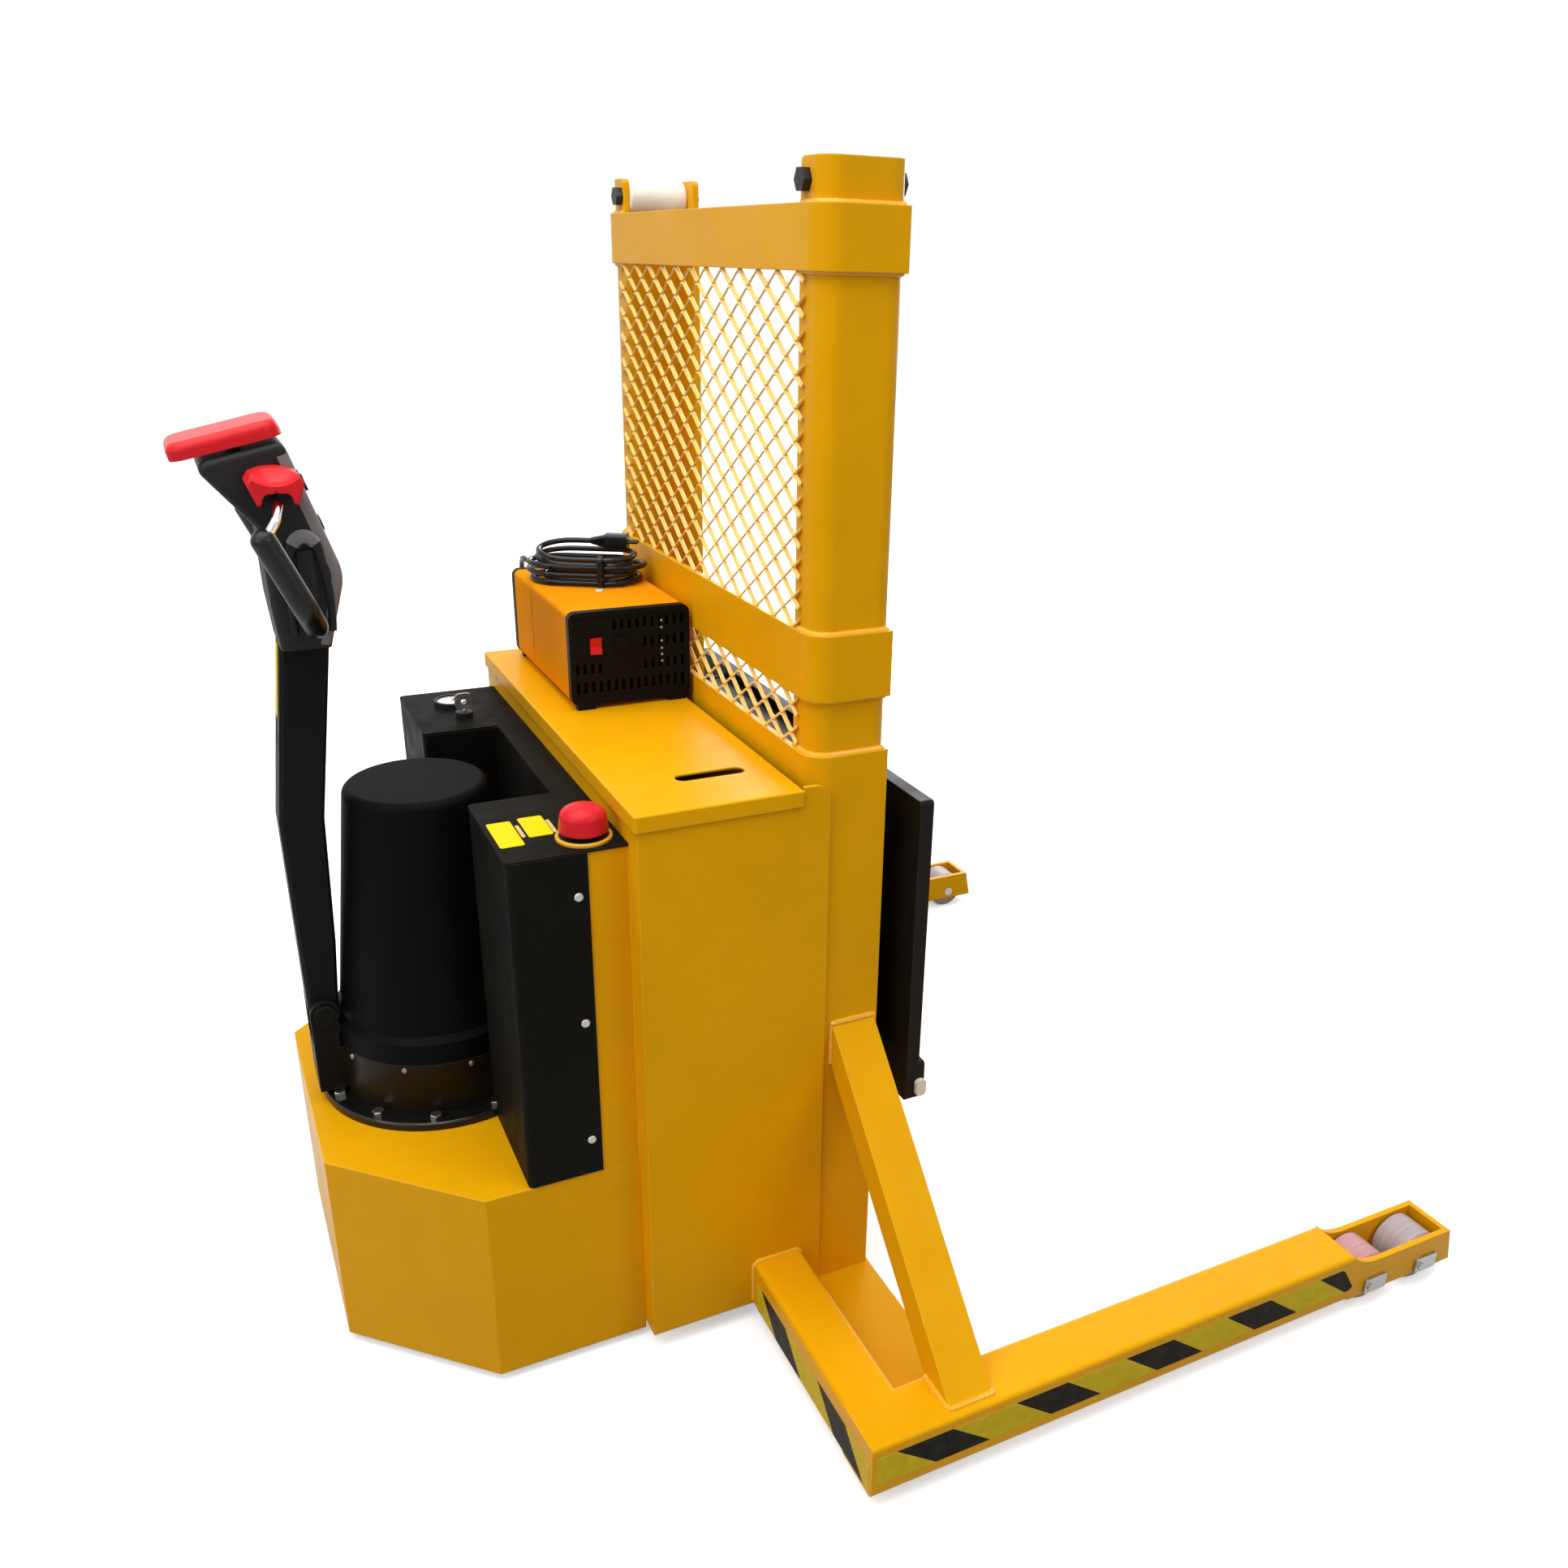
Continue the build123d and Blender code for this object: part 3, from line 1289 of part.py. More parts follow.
# Plated rods from the elbows of the grips back into the sides of the head
with BuildPart() as grip_rods:
    for side, sign in sides:
        elbow = Vector(elbow_x, sign * elbow_y, elbow_z)
        with BuildLine() as rod_path:
            FilletPolyline(
                elbow + grip_aim * (grip_r - rod_socket),
                (rod_turn_x, sign * elbow_y, rod_turn_z),
                (throttle_x, sign * (elbow_y - 16), rod_z),
                (throttle_x, sign * head_half, rod_z),
                radius=8,
            )
        with BuildSketch(Plane(origin=rod_path.line @ 0, z_dir=rod_path.line % 0)):
            Circle(grip_rod_diameter / 2)
        sweep(path=rod_path.wire())
grip_rods.part.label = "grip_rods"
export_step(grip_rods.part, "parts/grip_rods.step")

# Charger: folded case between two end bezels
charger_x = beam_x + charger_mid
charger_bottom_z = lid_top_z + rest_gap + charger_foot
charger_mid_z = charger_bottom_z + charger_height / 2
charger_top_z = charger_bottom_z + charger_height
charger_left = charger_right + charger_length
with BuildPart() as charger_case:
    with BuildSketch(across(charger_right + bezel_depth)):
        with Locations((charger_x, charger_mid_z)):
            RectangleRounded(charger_width, charger_height, charger_corner)
            RectangleRounded(
                charger_width - 2 * charger_sheet,
                charger_height - 2 * charger_sheet,
                charger_corner - charger_sheet,
                mode=Mode.SUBTRACT,
            )
    extrude(amount=-(charger_length - 2 * bezel_depth))
charger_case.part.label = "charger_case"
export_step(charger_case.part, "parts/charger_case.step")

# End bezels with feet, vent slots, a switch opening, a fuse cap and a cord gland at the rear
vent_pitch = 11.5
vent_width = 5.0
vent_rows = (
    (47, 15, (-2, -1, 0, 1, 2, 3, 4, 5, 6, 7)),
    (18, 15, (2, 3, 4, 5, 6, 7)),
    (-16, 15, (-7, -6, -5, -4, 2, 3, 4, 5, 6, 7)),
    (-44, 17, (-7, -6, -5, -4, -3, -2, -1, 0, 1, 2, 3, 4, 5, 6, 7)),
)
switch_x = charger_x - 52
switch_z = charger_mid_z + 18
switch_wide = 17.0
switch_tall = 24.0
gland_x = charger_x - 56
gland_z = charger_bottom_z + 48
gland_reach = 20.0
with BuildPart() as charger_bezels:
    for face_y, turn in ((charger_right, -1), (charger_left, 1)):
        with BuildSketch(across(face_y)):
            with Locations((charger_x, charger_mid_z)):
                RectangleRounded(charger_width + 3, charger_height + 2, charger_corner + 3)
            for foot in (-1, 1):
                with Locations((charger_x + foot * (charger_width / 2 - 20), charger_bottom_z)):
                    Rectangle(26, 2 * charger_foot)
        extrude(amount=turn * bezel_depth)
        with BuildSketch(across(face_y)):
            with Locations((charger_x, charger_mid_z)):
                RectangleRounded(charger_width - 13, charger_height - 13, charger_corner)
        extrude(amount=turn * 3, mode=Mode.SUBTRACT)
        with BuildSketch(across(face_y - turn * bezel_depth)):
            with Locations((charger_x, charger_mid_z)):
                RectangleRounded(charger_width - 13, charger_height - 13, charger_corner)
        extrude(amount=-turn * (bezel_depth - 6), mode=Mode.SUBTRACT)
    with BuildSketch(across(charger_right)):
        for rise, tall, columns in vent_rows:
            for column in columns:
                with Locations((charger_x + column * vent_pitch, charger_mid_z + rise)):
                    Rectangle(vent_width, tall)
        with Locations((switch_x, switch_z)):
            Rectangle(switch_wide + 2 * slide_gap, switch_tall + 2 * rocker_clear)
    extrude(amount=-bezel_depth, mode=Mode.SUBTRACT)
    with BuildSketch(across(charger_right + 3)):
        with Locations((charger_x - 14, switch_z)):
            Circle(11)
    extrude(amount=7)
    with BuildSketch(across(charger_left - 6)):
        with Locations((gland_x, gland_z)):
            Circle(cord_diameter / 2 + 5)
    extrude(amount=-6 - gland_reach, taper=6)
charger_bezels.part.label = "charger_bezels"
export_step(charger_bezels.part, "parts/charger_bezels.step")

# Rocker switch of the charger
switch_y = charger_right + 3
with BuildPart() as charger_switch:
    with BuildSketch(facing(switch_x - switch_wide / 2)):
        with BuildLine():
            tall = switch_tall / 2
            Polyline(
                (switch_y - 4.5, switch_z - tall),
                (switch_y - 2, switch_z),
                (switch_y - 4.5, switch_z + tall),
                (switch_y + 2, switch_z + tall - 0.5),
                (switch_y + 10, switch_z + 5),
                (switch_y + 10, switch_z - 5),
                (switch_y + 2, switch_z - tall + 0.5),
                close=True,
            )
        make_face()
    extrude(amount=switch_wide)
charger_switch.part.label = "charger_switch"
export_step(charger_switch.part, "parts/charger_switch.step")

# Mains cord: a hank of flattened loops in four layers on top of the charger
cord_r = cord_diameter / 2
coil_pitch = 2.12 * cord_diameter
coil_layer = 1.41 * cord_diameter
turn_u = Vector(math.cos(math.radians(coil_angle)), math.sin(math.radians(coil_angle)), 0)
turn_v = Vector(-turn_u.Y, turn_u.X, 0)
coil_x = mast_rear_x - coil_mast_gap - cord_r - coil_radius - coil_half_run * turn_u.X
coil_y = charger_right + 0.62 * charger_length
coil_z = charger_top_z + 1 + rest_gap + cord_r


def hank(u, v, z):
    """Point of the hank from its long axis, its cross axis and its height."""
    return Vector(coil_x, coil_y, z) + turn_u * u + turn_v * v


inward = list(range(0, coil_half_turns + 1))
outward = inward[-2::-1]
steps = [(0, k) for k in inward] + [(1, k) for k in outward]
steps += [(2, k) for k in inward[1:]] + [(3, k) for k in outward]
runs = []
for number, (layer, k) in enumerate(steps):
    swing = (-1) ** number
    runs.append((swing, swing * (coil_radius - k * coil_pitch / 2), coil_z + layer * coil_layer))
plug_rest_z = coil_z + 3 * coil_layer + cord_r + rest_gap + plug_half
plug_v = coil_radius - coil_pitch - cord_r - 0.8 - plug_half
runs[-1] = (runs[-1][0], plug_v, plug_rest_z)
plug_u = 0.0
with BuildPart() as cord_coil:
    with BuildLine() as coil_path:
        for number, (heading, v, z) in enumerate(runs):
            start = hank(-heading * coil_half_run, v, z)
            finish = hank(heading * coil_half_run, v, z)
            if number == len(runs) - 1:
                finish = hank(plug_u, v, z)
            Line(start, finish)
            if number < len(runs) - 1:
                next_v, next_z = runs[number + 1][1:]
                middle = hank(heading * coil_half_run, (v + next_v) / 2, (z + next_z) / 2)
                bulge = math.hypot(next_v - v, next_z - z) / 2
                far = middle + turn_u * (heading * bulge)
                ThreePointArc(finish, far, hank(heading * coil_half_run, next_v, next_z))
    coil_start = Vector(coil_path.line @ 0)
    coil_end = Vector(coil_path.line @ 1)
    with BuildSketch(Plane(origin=coil_start, z_dir=turn_u)):
        Circle(cord_r)
    sweep(path=coil_path.wire())
cord_coil.part.label = "cord_coil"
export_step(cord_coil.part, "parts/cord_coil.step")
coil_length = coil_path.wire().length
print("cord coil volume / section x length:", cord_coil.part.volume / (math.pi * cord_r ** 2 * coil_length))

# Least distance between turns of the hank, measured on points along it
coil_points = []
count = int(coil_length / 3)
for index in range(count + 1):
    coil_points.append(coil_path.wire().position_at(index / count))
least = 1e9
for index in range(0, count + 1):
    for other in range(index + 12, count + 1):
        span = coil_points[index] - coil_points[other]
        least = min(least, span.length)
print("least gap between turns:", least - cord_diameter)

# Lead from the gland over the rear edge of the charger to the hank
gland_end = charger_left + gland_reach
lead_back = coil_start - turn_u * 36
lead_points = [
    (gland_x, gland_end, gland_z),
    (gland_x, gland_end + 30, gland_z),
    (gland_x - 6, gland_end + 58, gland_z + 29),
    (gland_x - 13, gland_end + 57, gland_z + 70),
    (gland_x - 18, gland_end + 24, charger_top_z + 11),
    (gland_x - 14, gland_end - 22, charger_top_z + 11.5),
    (lead_back.X, lead_back.Y, coil_z),
    (coil_start.X, coil_start.Y, coil_z),
]
lead_spots = [Vector(*point) for point in lead_points]
lead_radii = []
for before, corner, after in zip(lead_spots, lead_spots[1:], lead_spots[2:]):
    into = corner - before
    out = after - corner
    half_turn = math.radians(into.get_angle(out)) / 2
    lead_radii.append(0.45 * min(into.length, out.length) / math.tan(half_turn))
print("lead radii:", [round(radius, 1) for radius in lead_radii])
with BuildPart() as cord_lead:
    with BuildLine() as lead_path:
        FilletPolyline(*lead_spots, radius=lead_radii)
    with BuildSketch(Plane(origin=lead_spots[0], z_dir=lead_path.line % 0)):
        Circle(cord_r)
    sweep(path=lead_path.wire())
cord_lead.part.label = "cord_lead"
export_step(cord_lead.part, "parts/cord_lead.step")
lead_length = lead_path.wire().length
print("cord lead volume / section x length:", cord_lead.part.volume / (math.pi * cord_r ** 2 * lead_length))
print("cord length, hank and lead:", round(coil_length), round(lead_length))

# Plug resting on the hank: tapered relief, moulded body and two pins
plug_plane = Plane(origin=coil_end, x_dir=turn_v, z_dir=turn_u)
with BuildPart() as cord_plug:
    with BuildSketch(plug_plane):
        Circle(cord_r + 1)
    with BuildSketch(plug_plane.offset(plug_length * 0.4)):
        RectangleRounded(2 * plug_half - 4, 2 * plug_half - 4, 4)
    loft()
    with BuildSketch(plug_plane.offset(plug_length * 0.4)):
        RectangleRounded(2 * plug_half, 2 * plug_half, 5)
    extrude(amount=plug_length * 0.6)
    with BuildSketch(plug_plane.offset(plug_length)):
        with Locations((-5.5, 0), (5.5, 0)):
            Circle(2.2)
    extrude(amount=16)
cord_plug.part.label = "cord_plug"
export_step(cord_plug.part, "parts/cord_plug.step")
print("lift stroke:", lift_stroke, "crossbar:", crossbar_z, "carriage top:", carriage_top)
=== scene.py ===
import json
import math
import random

import bmesh
import bpy
from mathutils import Matrix, Vector

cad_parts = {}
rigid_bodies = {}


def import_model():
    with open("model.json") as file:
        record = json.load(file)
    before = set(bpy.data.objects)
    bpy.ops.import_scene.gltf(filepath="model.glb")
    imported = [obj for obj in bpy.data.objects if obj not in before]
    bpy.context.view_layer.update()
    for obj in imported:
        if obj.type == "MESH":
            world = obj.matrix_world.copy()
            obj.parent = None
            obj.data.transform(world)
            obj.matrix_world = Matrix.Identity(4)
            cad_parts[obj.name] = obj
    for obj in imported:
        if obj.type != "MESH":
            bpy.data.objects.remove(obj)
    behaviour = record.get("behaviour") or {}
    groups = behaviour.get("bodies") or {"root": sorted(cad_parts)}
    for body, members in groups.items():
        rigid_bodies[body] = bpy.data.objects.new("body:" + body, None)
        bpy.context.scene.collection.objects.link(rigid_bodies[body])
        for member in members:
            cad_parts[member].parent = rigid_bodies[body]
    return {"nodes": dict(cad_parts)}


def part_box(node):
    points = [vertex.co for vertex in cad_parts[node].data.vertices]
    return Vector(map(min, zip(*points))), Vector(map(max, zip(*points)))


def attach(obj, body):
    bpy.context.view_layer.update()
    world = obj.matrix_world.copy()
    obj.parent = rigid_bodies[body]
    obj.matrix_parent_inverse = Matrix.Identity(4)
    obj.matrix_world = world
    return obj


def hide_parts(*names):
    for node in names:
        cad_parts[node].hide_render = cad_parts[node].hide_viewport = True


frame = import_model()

for leftover in [thing for thing in bpy.data.objects if thing.name in ("Cube", "Light", "Camera")]:
    bpy.data.objects.remove(leftover)
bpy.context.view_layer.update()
scene = bpy.context.scene
nodes = frame["nodes"]

# Viewpoint: behind the machine's right rear corner at a standing person's eye height,
# turned toward the mast and tipped down a little, with a moderately wide lens.
eye = Vector((-0.82837, -1.78438, 1.44738))
heading = math.radians(62.696)
tip = math.radians(-22.89)
lean = math.radians(-1.659)
forward = Vector((math.cos(tip) * math.cos(heading), math.cos(tip) * math.sin(heading), math.sin(tip)))
level_right = Vector((math.sin(heading), -math.cos(heading), 0.0))
level_down = forward.cross(level_right)
right = level_right * math.cos(lean) + level_down * math.sin(lean)
down = level_down * math.cos(lean) - level_right * math.sin(lean)
lens = bpy.data.cameras.new("viewpoint")
lens.sensor_width = 36.0
lens.lens = 30.316
lens.shift_x = -0.03397
lens.shift_y = 0.02388
viewpoint = bpy.data.objects.new("viewpoint", lens)
viewpoint.matrix_world = Matrix.Translation(eye) @ Matrix((right, -down, -forward)).transposed().to_4x4()
scene.collection.objects.link(viewpoint)
scene.camera = viewpoint
scene.view_settings.view_transform = "Standard"


# Studio: a pale seamless floor under a broad ceiling light, with a bright window wall ahead
# of the machine on the left and a white surround that the camera sees behind everything.
def add_node(tree, kind, inputs, **settings):
    """A shader node with its settings, each input given as a value or joined to another node."""
    node = tree.nodes.new("ShaderNode" + kind)
    for key, value in settings.items():
        setattr(node, key, value)
    for key, value in inputs.items():
        if isinstance(value, bpy.types.NodeSocket):
            tree.links.new(value, node.inputs[key])
        else:
            node.inputs[key].default_value = value
    return node


def start_finish(name, roughness, metallic=0.0):
    """A new material with its node tree, its shader and the place of each point of the piece."""
    finish = bpy.data.materials.new(name)
    finish.use_nodes = True
    tree = finish.node_tree
    shader = tree.nodes["Principled BSDF"]
    shader.inputs["Roughness"].default_value = roughness
    shader.inputs["Metallic"].default_value = metallic
    place = add_node(tree, "TexCoord", {}).outputs["Object"]
    return finish, tree, shader, place


def join(tree, shader, outputs):
    """Joins each output to the shader's socket of that name."""
    for name, output in outputs.items():
        tree.links.new(output, shader.inputs[name])


def worked(tree, operation, first, second=0.0):
    """Result of an operation on one or two numbers."""
    return add_node(tree, "Math", {0: first, 1: second}, operation=operation).outputs[0]


def mixed(tree, share, first, second):
    """Colour between two colours, the second one at a full share."""
    return add_node(tree, "MixRGB", {"Fac": share, "Color1": first, "Color2": second}).outputs["Color"]


def mapped(tree, value, source, target):
    """Value carried over from one range to another."""
    inputs = {"Value": value, "From Min": source[0], "From Max": source[1], "To Min": target[0],
              "To Max": target[1]}
    return add_node(tree, "MapRange", inputs).outputs["Result"]


def seen_rays(tree):
    """One for rays that the camera sends straight, by a reflection or through glass, else zero."""
    rays = add_node(tree, "LightPath", {}).outputs
    mirrored = worked(tree, "MAXIMUM", rays["Is Camera Ray"], rays["Is Glossy Ray"])
    return worked(tree, "MAXIMUM", mirrored, rays["Is Transmission Ray"])


def lamp(name, place, aim, width, height, watts):
    """Rectangular soft light at a place, aimed at a point."""
    light = bpy.data.lights.new(name, "AREA")
    light.shape = "RECTANGLE"
    light.size = width
    light.size_y = height
    light.energy = watts
    stand = bpy.data.objects.new(name, light)
    turn = (Vector(aim) - Vector(place)).to_track_quat("-Z", "Y")
    stand.matrix_world = Matrix.Translation(place) @ turn.to_matrix().to_4x4()
    scene.collection.objects.link(stand)


floor_reach = 12.0
floor_shade, floor_pale = (0.3, 0.3, 0.3, 1), (0.93, 0.93, 0.93, 1)
glow_reach, glow_strength = (1.2, 3.4), (0.42, 1.0)
floor_mesh = bpy.data.meshes.new("studio_floor")
floor_corners = [(x * floor_reach, y * floor_reach, 0) for x, y in ((-1, -1), (1, -1), (1, 1), (-1, 1))]
floor_mesh.from_pydata(floor_corners, [], [(0, 1, 2, 3)])
floor_finish, floor_tree, floor_shader, floor_place = start_finish("studio_floor", 0.9)
floor_shader.inputs["Specular IOR Level"].default_value = 0.0
floor_shader.inputs["Emission Color"].default_value = (1, 1, 1, 1)
floor_tone = mixed(floor_tree, seen_rays(floor_tree), floor_shade, floor_pale)
floor_span = add_node(floor_tree, "VectorMath", {0: floor_place}, operation="LENGTH").outputs["Value"]
camera_rays = add_node(floor_tree, "LightPath", {}).outputs["Is Camera Ray"]
floor_lift = mapped(floor_tree, floor_span, glow_reach, glow_strength)
floor_glow = worked(floor_tree, "MULTIPLY", floor_lift, camera_rays)
join(floor_tree, floor_shader, {"Base Color": floor_tone, "Emission Strength": floor_glow})
floor_mesh.materials.append(floor_finish)
studio_floor = bpy.data.objects.new("studio_floor", floor_mesh)
scene.collection.objects.link(studio_floor)

lamp("ceiling_light", place=(-1.1, -0.4, 4.2), aim=(-0.3, 0.0, 0.0), width=4.2, height=4.2, watts=182.0)
lamp("window_wall", place=(3.0, 3.6, 2.3), aim=(0.0, 0.0, 0.6), width=3.4, height=2.0, watts=120.0)
lamp("right_bay", place=(2.2, -3.6, 3.2), aim=(-0.1, -0.3, 1.4), width=2.0, height=1.6, watts=36.0)
lamp("operator_side", place=(-3.7, -1.7, 2.5), aim=(-0.3, 0.0, 0.7), width=2.4, height=2.0, watts=42.0)

surround_shade, surround_white = (0.29, 0.29, 0.30, 1), (1, 1, 1, 1)
surround = bpy.data.worlds.new("surround")
scene.world = surround
surround.use_nodes = True
sky = surround.node_tree
join(sky, sky.nodes["Background"], {"Color": mixed(sky, seen_rays(sky), surround_shade, surround_white)})


# Welded steelwork: drive base, battery box, lid, mast, legs and braces of plate and square tube, welded
# together and sprayed with yellow machine paint, its edges painted paler for paint worn thin there and as a
# painted highlight.
def noise(tree, place, scale, detail, roughness=0.5):
    """Even noise over the place of each point."""
    inputs = {"Vector": place, "Scale": scale, "Detail": detail, "Roughness": roughness}
    return add_node(tree, "TexNoise", inputs).outputs["Fac"]


def ramp(tree, share, low, high):
    """Colour run between two stops, each a position and a colour."""
    run = add_node(tree, "ValToRGB", {"Fac": share})
    for stop, (position, colour) in zip(run.color_ramp.elements, (low, high)):
        stop.position = position
        stop.color = (*colour, 1)
    return run.outputs["Color"]


def clouded(tree, share, colour, cloud, low_at=0.3, high_at=0.7):
    """Colour that drifts between a darker and a lighter shade of itself."""
    darker, lighter = [part * (1 - cloud) for part in colour], [part * (1 + cloud) for part in colour]
    return ramp(tree, share, (low_at, darker), (high_at, lighter))


def rounded_edges(tree, radius, samples=4):
    """Normal that runs round the edges."""
    return add_node(tree, "Bevel", {"Radius": radius}, samples=samples).outputs["Normal"]


def bumped(tree, height, distance, strength, **base):
    """Normal made uneven by a height, over a base Normal where one is given."""
    inputs = {"Height": height, "Distance": distance, "Strength": strength, **base}
    return add_node(tree, "Bump", inputs).outputs["Normal"]


def paint(name, colour, roughness, cloud, edge_colour, edge_radius=0.0022, peel=0.00006, index=1.45,
          sheen=(1.0, 1.0, 1.0)):
    """Sprayed paint: slow tint changes, orange peel, softened edges of a second, paler colour that is partly
    worn paint and partly a painted highlight, and a sheen.
    """
    finish, tree, shader, place = start_finish(name, roughness)
    shader.inputs["IOR"].default_value = index
    shader.inputs["Specular Tint"].default_value = (*sheen, 1)
    drift = noise(tree, place, scale=4.5, detail=5.0, roughness=0.62)
    tint = clouded(tree, drift, colour, cloud, low_at=0.32, high_at=0.68)
    rounded = rounded_edges(tree, edge_radius, samples=6)
    surface = add_node(tree, "NewGeometry", {}).outputs["Normal"]
    bend = add_node(tree, "VectorMath", {0: rounded, 1: surface}, operation="DOT_PRODUCT").outputs["Value"]
    # Edges turn toward the edge colour: partly paint worn thin, partly a painted highlight on the rounded
    # edge.
    rubbed_and_lit_edges = mapped(tree, bend, source=(0.985, 0.86), target=(0.0, 0.75))
    patches = noise(tree, place, scale=23.0, detail=3.0)
    gloss = mapped(tree, patches, source=(0.3, 0.7), target=(roughness * 0.85, roughness * 1.18))
    skin = noise(tree, place, scale=420.0, detail=2.0)
    peeled = bumped(tree, skin, peel, strength=0.6, Normal=rounded)
    edged = mixed(tree, rubbed_and_lit_edges, tint, (*edge_colour, 1))
    join(tree, shader, {"Base Color": edged, "Roughness": gloss, "Normal": peeled})
    return finish


def cover(finish, *names):
    """Gives each named piece of the machine its finish."""
    for name in names:
        nodes[name].data.materials.clear()
        nodes[name].data.materials.append(finish)


machine_yellow = paint("machine_yellow", (0.78, 0.37, 0.002), 0.33, 0.05, (0.95, 0.58, 0.06), index=1.22,
                       sheen=(1.0, 0.80, 0.28))
cover(machine_yellow, "drive_base", "battery_box", "battery_lid", "mast_upright_left", "mast_upright_right",
      "mast_bands", "mast_lower_shroud", "leg_left", "leg_right", "braces", "mast_foot_plate")


# Weld seams: rippled fillet beads where the bands and the shroud meet the uprights, round both ends of the
# braces and where the beams leave the box; they are laid by hand and painted with the steelwork, here in a
# paler yellow with paler edges, a painted highlight for the glints along the seams.
def spaced(points, step):
    """Points a regular step apart along a line of corners."""
    found = [points[0].copy()]
    for start, end in zip(points, points[1:]):
        count = max(1, round((end - start).length / step))
        found.extend(start.lerp(end, index / count) for index in range(1, count + 1))
    return found


def facing(path, index):
    """Direction of a line of points at one of them."""
    return (path[min(index + 1, len(path) - 1)] - path[max(index - 1, 0)]).normalized()


def circle(centre, aside, upward, radius, steps):
    """Points round a centre, in the plane of two directions."""
    angles = [2 * math.pi * step / steps for step in range(steps)]
    return [centre + (aside * math.cos(angle) + upward * math.sin(angle)) * radius for angle in angles]


def swept(sections, loop=False):
    """Shell through sections with equal numbers of points, closed at its ends or round a loop."""
    rings, count = len(sections), len(sections[0])
    vertices = [point for section in sections for point in section]
    faces = []
    for ring in range(rings if loop else rings - 1):
        here, after = ring * count, (ring + 1) % rings * count
        for corner in range(count):
            beside = (corner + 1) % count
            faces.append((here + corner, here + beside, after + beside, after + corner))
    if not loop:
        faces += [tuple(range(count - 1, -1, -1)), tuple(range(len(vertices) - count, len(vertices)))]
    return vertices, faces


def joined_mesh(name, parts):
    """One mesh from parts of vertices and faces, its faces turned outward."""
    vertices, faces = [], []
    for part_vertices, part_faces in parts:
        offset = len(vertices)
        vertices.extend(part_vertices)
        faces.extend(tuple(corner + offset for corner in face) for face in part_faces)
    mesh = bpy.data.meshes.new(name)
    mesh.from_pydata(vertices, [], faces)
    shell = bmesh.new()
    shell.from_mesh(mesh)
    bmesh.ops.recalc_face_normals(shell, faces=shell.faces)
    shell.to_mesh(mesh)
    shell.free()
    return mesh


sharp_from = math.radians(38)


def piece(name, parts, finish, body, smooth=True):
    """One object from its parts, with its finish, riding on a body of the machine."""
    mesh = joined_mesh(name, parts)
    if smooth:
        mesh.shade_smooth()
        mesh.set_sharp_from_angle(angle=sharp_from)
    mesh.materials.append(finish)
    made = bpy.data.objects.new(name, mesh)
    scene.collection.objects.link(made)
    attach(made, body)
    return made


weld_random = random.Random(4)
weld_pitch, bead_sides = 0.0035, 7
ripple_thick, ripple_thin, bead_end = 1.12, 0.9, 0.45
unevenness = (0.93, 1.07)


def bead(corners, radius):
    """Weld bead along a line of corners, its ripples a little uneven and its ends thin."""
    path = spaced([Vector(corner) for corner in corners], weld_pitch)
    radii = []
    for index in range(len(path)):
        ripple = ripple_thick if index % 2 else ripple_thin
        radii.append(radius * ripple * weld_random.uniform(*unevenness))
    radii[0] = radii[-1] = radius * bead_end
    aside = facing(path, 0).orthogonal().normalized()
    sections = []
    for index, point in enumerate(path):
        ahead = facing(path, index)
        aside = (aside - ahead * aside.dot(ahead)).normalized()
        sections.append(circle(point, aside, ahead.cross(aside), radii[index], bead_sides))
    return swept(sections)


upright_low, upright_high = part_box("mast_upright_left")
bands_low, bands_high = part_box("mast_bands")
shroud_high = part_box("mast_lower_shroud")[1]
top_band_height, middle_band_height = 0.070, 0.085
top_band_foot, middle_band_top = bands_high.z - top_band_height, bands_low.z + middle_band_height
upright_bend = 0.024
seam_inset, seam_reach = 0.006, 0.058
band_bead, brace_bead, beam_bead = 0.0042, 0.0046, 0.0036
seams = []
for side in (1, -1):
    back, outside = upright_low.x, side * upright_high.y
    for level in (bands_high.z, top_band_foot, middle_band_top, bands_low.z, shroud_high.z):
        line = [(upright_high.x - seam_inset, outside, level)]
        for angle in [math.radians(15 * step) for step in range(7)]:
            line.append((back + upright_bend * (1 - math.sin(angle)),
                         outside - side * upright_bend * (1 - math.cos(angle)), level))
        line.append((back, outside - side * seam_reach, level))
        seams.append(bead(line, band_bead))
brace_low, brace_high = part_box("braces")
leg_low, leg_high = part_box("leg_left")
box_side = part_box("battery_box")[1].y
brace_inner, brace_outer, brace_crown = 0.675, 0.7398, 0.409
beam_width, beam_corner, root_rise = 0.075, 0.006, 0.01
beam_rear, beam_front, beam_foot = leg_low.x, leg_low.x + beam_width, leg_low.z + root_rise
foot_line = [(brace_low.x, brace_inner), (brace_low.x, brace_outer), (brace_high.x, brace_outer),
             (brace_high.x, brace_inner)]
crown_line = [(brace_low.x, brace_crown), (brace_low.x, brace_high.z), (brace_high.x, brace_high.z),
              (brace_high.x, brace_crown)]
root_line = [(beam_rear, beam_foot), (beam_rear, leg_high.z - beam_corner),
             (beam_rear + beam_corner, leg_high.z), (beam_front - beam_corner, leg_high.z),
             (beam_front, leg_high.z - beam_corner), (beam_front, beam_foot)]
for side in (1, -1):
    seams.append(bead([(x, side * y, leg_high.z) for x, y in foot_line], brace_bead))
    seams.append(bead([(x, side * shroud_high.y, z) for x, z in crown_line], brace_bead))
    seams.append(bead([(x, side * box_side, z) for x, z in root_line], beam_bead))
# Paler yellow and paler edges: a painted highlight for the seams' glints; the low roughness is their gloss.
weld_glint_yellow = paint("weld_glint_yellow", (0.86, 0.44, 0.02), 0.16, 0.05, (1.0, 0.66, 0.16), edge_radius=0.0008,
                    index=1.4)
piece("weld_seams", seams, weld_glint_yellow, "chassis")


